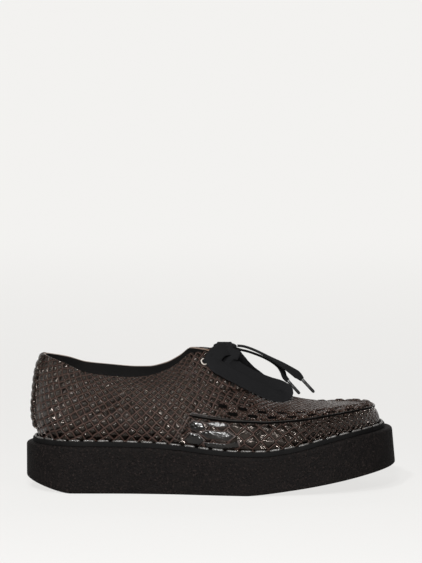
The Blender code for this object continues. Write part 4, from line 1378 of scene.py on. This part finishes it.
def makeTongue():
    drop = -(last["wall"] + 0.0010)
    shares = np.linspace(0.485, 0.74, 60)
    rowsHere = np.linspace(3.15, 3.75, 9)
    grid = []
    for share in shares:
        sides = []
        for side in (outerSide, innerSide):
            line = wallPoint(np.full(9, share), side, rowsHere)
            line = line + wallNormal(np.full(9, share), side, rowsHere) * drop
            sides.append(line)
        outer, inner = sides[0], sides[1][::-1]
        width = np.linalg.norm(outer[-1] - inner[0])
        bridge = []
        for t in np.linspace(0, 1, 9)[1:-1]:
            point = outer[-1] * (1 - t) + inner[0] * t
            point[2] += 0.0035 * min(width / (0.3 * last["ball"]), 1.0) * 4 * t * (1 - t)
            bridge.append(point)
        grid.append(np.vstack([outer, bridge, inner]))
    grid = np.array(grid[::-1])
    run = np.gradient(grid, axis=1)
    rise = np.gradient(grid, axis=0)
    normal = unit(np.cross(run, rise))
    if normal[30, 12, 2] < 0:
        normal = -normal
    thick = 0.0030
    low = grid - normal * thick
    maps = grid[..., :2] * 1000 / 4.0
    piece = overlayPiece("tongueFlap", low, normal, thick, fineLeather, "fineMap", maps, edgeShare=0.6)
    finishPiece(piece, ["tongue"])
    return piece


makeTongue()

insole = bpy.data.objects["insole"]
insole.data.materials.clear()
insole.data.materials.append(liningBlack)
print("overlays ready")


# ---------- lace bars through the eyelets and the knot

def makeBar(name, share, middleShare, barLift, node):
    lift = facing["gap"] + facing["thick"] + lace["thickness"] / 2 + barLift
    rowsHere = np.linspace(facing["eyeletRow"], 3.96, 12)
    points, normals = [], []
    for side, rowList in ((outerSide, rowsHere), (innerSide, rowsHere[::-1])):
        for row in rowList:
            t = (row - rowsHere[0]) / (4 - rowsHere[0])
            along = share + (middleShare - share) * t
            n = wallNormal(np.array(along), side, np.array(row))
            ramp = smoothStep(0, 0.3, np.array((row - rowsHere[0]) / (rowsHere[-1] - rowsHere[0])))
            down = -0.0035 * (1 - ramp)
            points.append(wallPoint(np.array(along), side, np.array(row)) + n * (lift + down))
            normals.append(n)
        if side == outerSide:
            gapStart = len(points)
    bridgeStart, bridgeEnd = points[gapStart - 1], points[gapStart]
    n1, n2 = normals[gapStart - 1], normals[gapStart]
    bridge, bridgeNormals = [], []
    for t in np.linspace(0, 1, 12)[1:-1]:
        point = bridgeStart * (1 - t) + bridgeEnd * t
        point = point + np.array((0, 0, lace["thickness"] * 4 * t * (1 - t)))
        bridge.append(point)
        bridgeNormals.append(n1 * (1 - t) + n2 * t)
    points = points[:gapStart] + bridge + points[gapStart:]
    normals = normals[:gapStart] + bridgeNormals + normals[gapStart:]
    widths = np.full(len(points), lace["barWidth"])
    widths[:4] = (0.0036, 0.0044, 0.0058, 0.0072)
    widths[-4:] = (0.0072, 0.0058, 0.0044, 0.0036)
    smoothPoints = np.array(points)
    for _ in range(3):
        smoothPoints[1:-1] = (smoothPoints[:-2] + 2 * smoothPoints[1:-1] + smoothPoints[2:]) / 4
    piece = flatRibbon(name, smoothPoints, np.array(normals), widths, lace["thickness"], laceBlack)
    finishPiece(piece, [node])
    return piece


makeBar("upperBar", facing["upperEyelet"], 0.530, 0.0022, "lace_bar_upper")
makeBar("lowerBar", facing["lowerEyelet"], facing["lowerEyelet"], 0.0012, "lace_bar_lower")


def makeKnot():
    # two wraps of flat lace round the roots of the loops, over a folded core
    low, high = [list(corner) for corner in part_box("lace_knot")]
    low[0] -= 0.0055
    centre = (np.array(low) + np.array(high)) / 2
    half = (np.array(high) - np.array(low)) / 2
    mesh = bpy.data.meshes.new("laceKnot")
    work = bmesh.new()
    bmesh.ops.create_uvsphere(work, u_segments=48, v_segments=24, radius=1.0)
    for vertex in work.verts:
        x, y, z = vertex.co
        fold = 1 + 0.10 * math.sin(3.0 * y + 1.2 * x) + 0.06 * math.sin(7 * x + 2 * z)
        vertex.co = (centre[0] + half[0] * 0.92 * x * fold,
                     centre[1] + half[1] * 0.94 * y,
                     centre[2] + half[2] * 0.90 * z * fold)
    work.to_mesh(mesh)
    work.free()
    core = bpy.data.objects.new("laceKnot", mesh)
    scene.collection.objects.link(core)
    mesh.materials.append(laceBlack)
    mesh.shade_smooth()
    spots = np.array([v.co[:] for v in mesh.vertices])
    paintUv(core, "weaveMap", np.stack([spots[:, 1] * 1000, spots[:, 0] * 1000 + spots[:, 2] * 500], axis=1))
    wraps = [core]
    for number, (shift, slant) in enumerate(((-0.0022, 0.25), (0.0030, -0.20))):
        angles = np.linspace(0, tau, 64, endpoint=True)
        ring = np.stack([centre[0] + shift + slant * half[1] * np.cos(angles),
                         centre[1] + half[1] * 0.86 * np.cos(angles),
                         centre[2] + half[2] * 0.88 * np.sin(angles)], axis=1)
        out = np.stack([np.zeros(64), np.cos(angles) * half[2], np.sin(angles) * half[1]], axis=1)
        wraps.append(flatRibbon("knotWrap%d" % number, ring, out, 0.0058, 0.0011, laceBlack, 0.0003))
    joined = bmesh.new()
    for part in wraps:
        joined.from_mesh(part.data)
    final = bpy.data.meshes.new("laceKnot")
    joined.to_mesh(final)
    joined.free()
    final.materials.append(laceBlack)
    for part in wraps[1:]:
        bpy.data.objects.remove(part)
    core.data = final
    final.shade_smooth()
    finishPiece(core, ["lace_knot"])
    return core


knot = makeKnot()
print("laces ready")


# ---------- studio

studio = {
    "floorColour": (0.070, 0.0695, 0.069, 1),
    "floorGlow": (1.0, 0.991, 0.972, 1),
    "glow": (0.744, 0.866),
    "sky": 0.03,
}


def stagePlane():
    material, tree, shader = newMaterial("paleFloor")
    shader.inputs["Base Color"].default_value = studio["floorColour"]
    shader.inputs["Roughness"].default_value = 0.9
    shader.inputs["Specular IOR Level"].default_value = 0.0
    shader.inputs["Emission Color"].default_value = studio["floorGlow"]
    place = addNode(tree, "ShaderNodeSeparateXYZ", {0: addNode(tree, "ShaderNodeTexCoord").outputs["Object"]})
    tree.links.new(remap(tree, place.outputs[1], 0.1, 3.0, *studio["glow"]), shader.inputs["Emission Strength"])
    floorPoints = []
    profile = [(-4.0, 0.0), (3.0, 0.0)]
    profile += [(3.0 + 1.5 * math.sin(a), 1.5 - 1.5 * math.cos(a)) for a in np.linspace(0, math.pi / 2, 16)[1:]]
    profile += [(4.5, 5.0)]
    for y, z in profile:
        floorPoints += [(-6.0, y, z), (6.0, y, z)]
    faces = [(2 * k, 2 * k + 1, 2 * k + 3, 2 * k + 2) for k in range(len(profile) - 1)]
    backdrop = linkMesh("studioFloor", floorPoints, faces, material, 0)
    return backdrop


stagePlane()

lights = (
    # name, place, aim, size, watts
    ("topSoft", (-0.05, -0.55, 1.35), (0.0, 0.0, 0.05), (0.9, 0.22), 6),
    ("frontSoft", (-0.35, -1.5, 1.15), (0.0, 0.0, 0.06), (0.12, 0.08), 46),
    ("glintSoft", (-0.05, -1.6, 0.85), (0.0, 0.0, 0.08), (0.16, 0.06), 34),
    ("toeSoft", (1.2, -1.0, 1.1), (0.05, 0.0, 0.06), (0.3, 0.3), 3),
    ("backSoft", (0.0, 1.3, 1.2), (0.0, 0.0, 0.08), (1.0, 0.3), 5),
)
for name, place, aim, size, watts in lights:
    data = bpy.data.lights.new(name, "AREA")
    data.shape = "RECTANGLE"
    data.size, data.size_y = size
    data.energy = watts
    lamp = bpy.data.objects.new(name, data)
    scene.collection.objects.link(lamp)
    lamp.location = place
    lamp.rotation_euler = (Vector(aim) - Vector(place)).to_track_quat("-Z", "Y").to_euler()

world = bpy.data.worlds.new("studioWorld")
world.use_nodes = True
world.node_tree.nodes["Background"].inputs["Color"].default_value = (1.0, 0.995, 0.985, 1)
world.node_tree.nodes["Background"].inputs["Strength"].default_value = studio["sky"]
scene.world = world
print("studio ready")
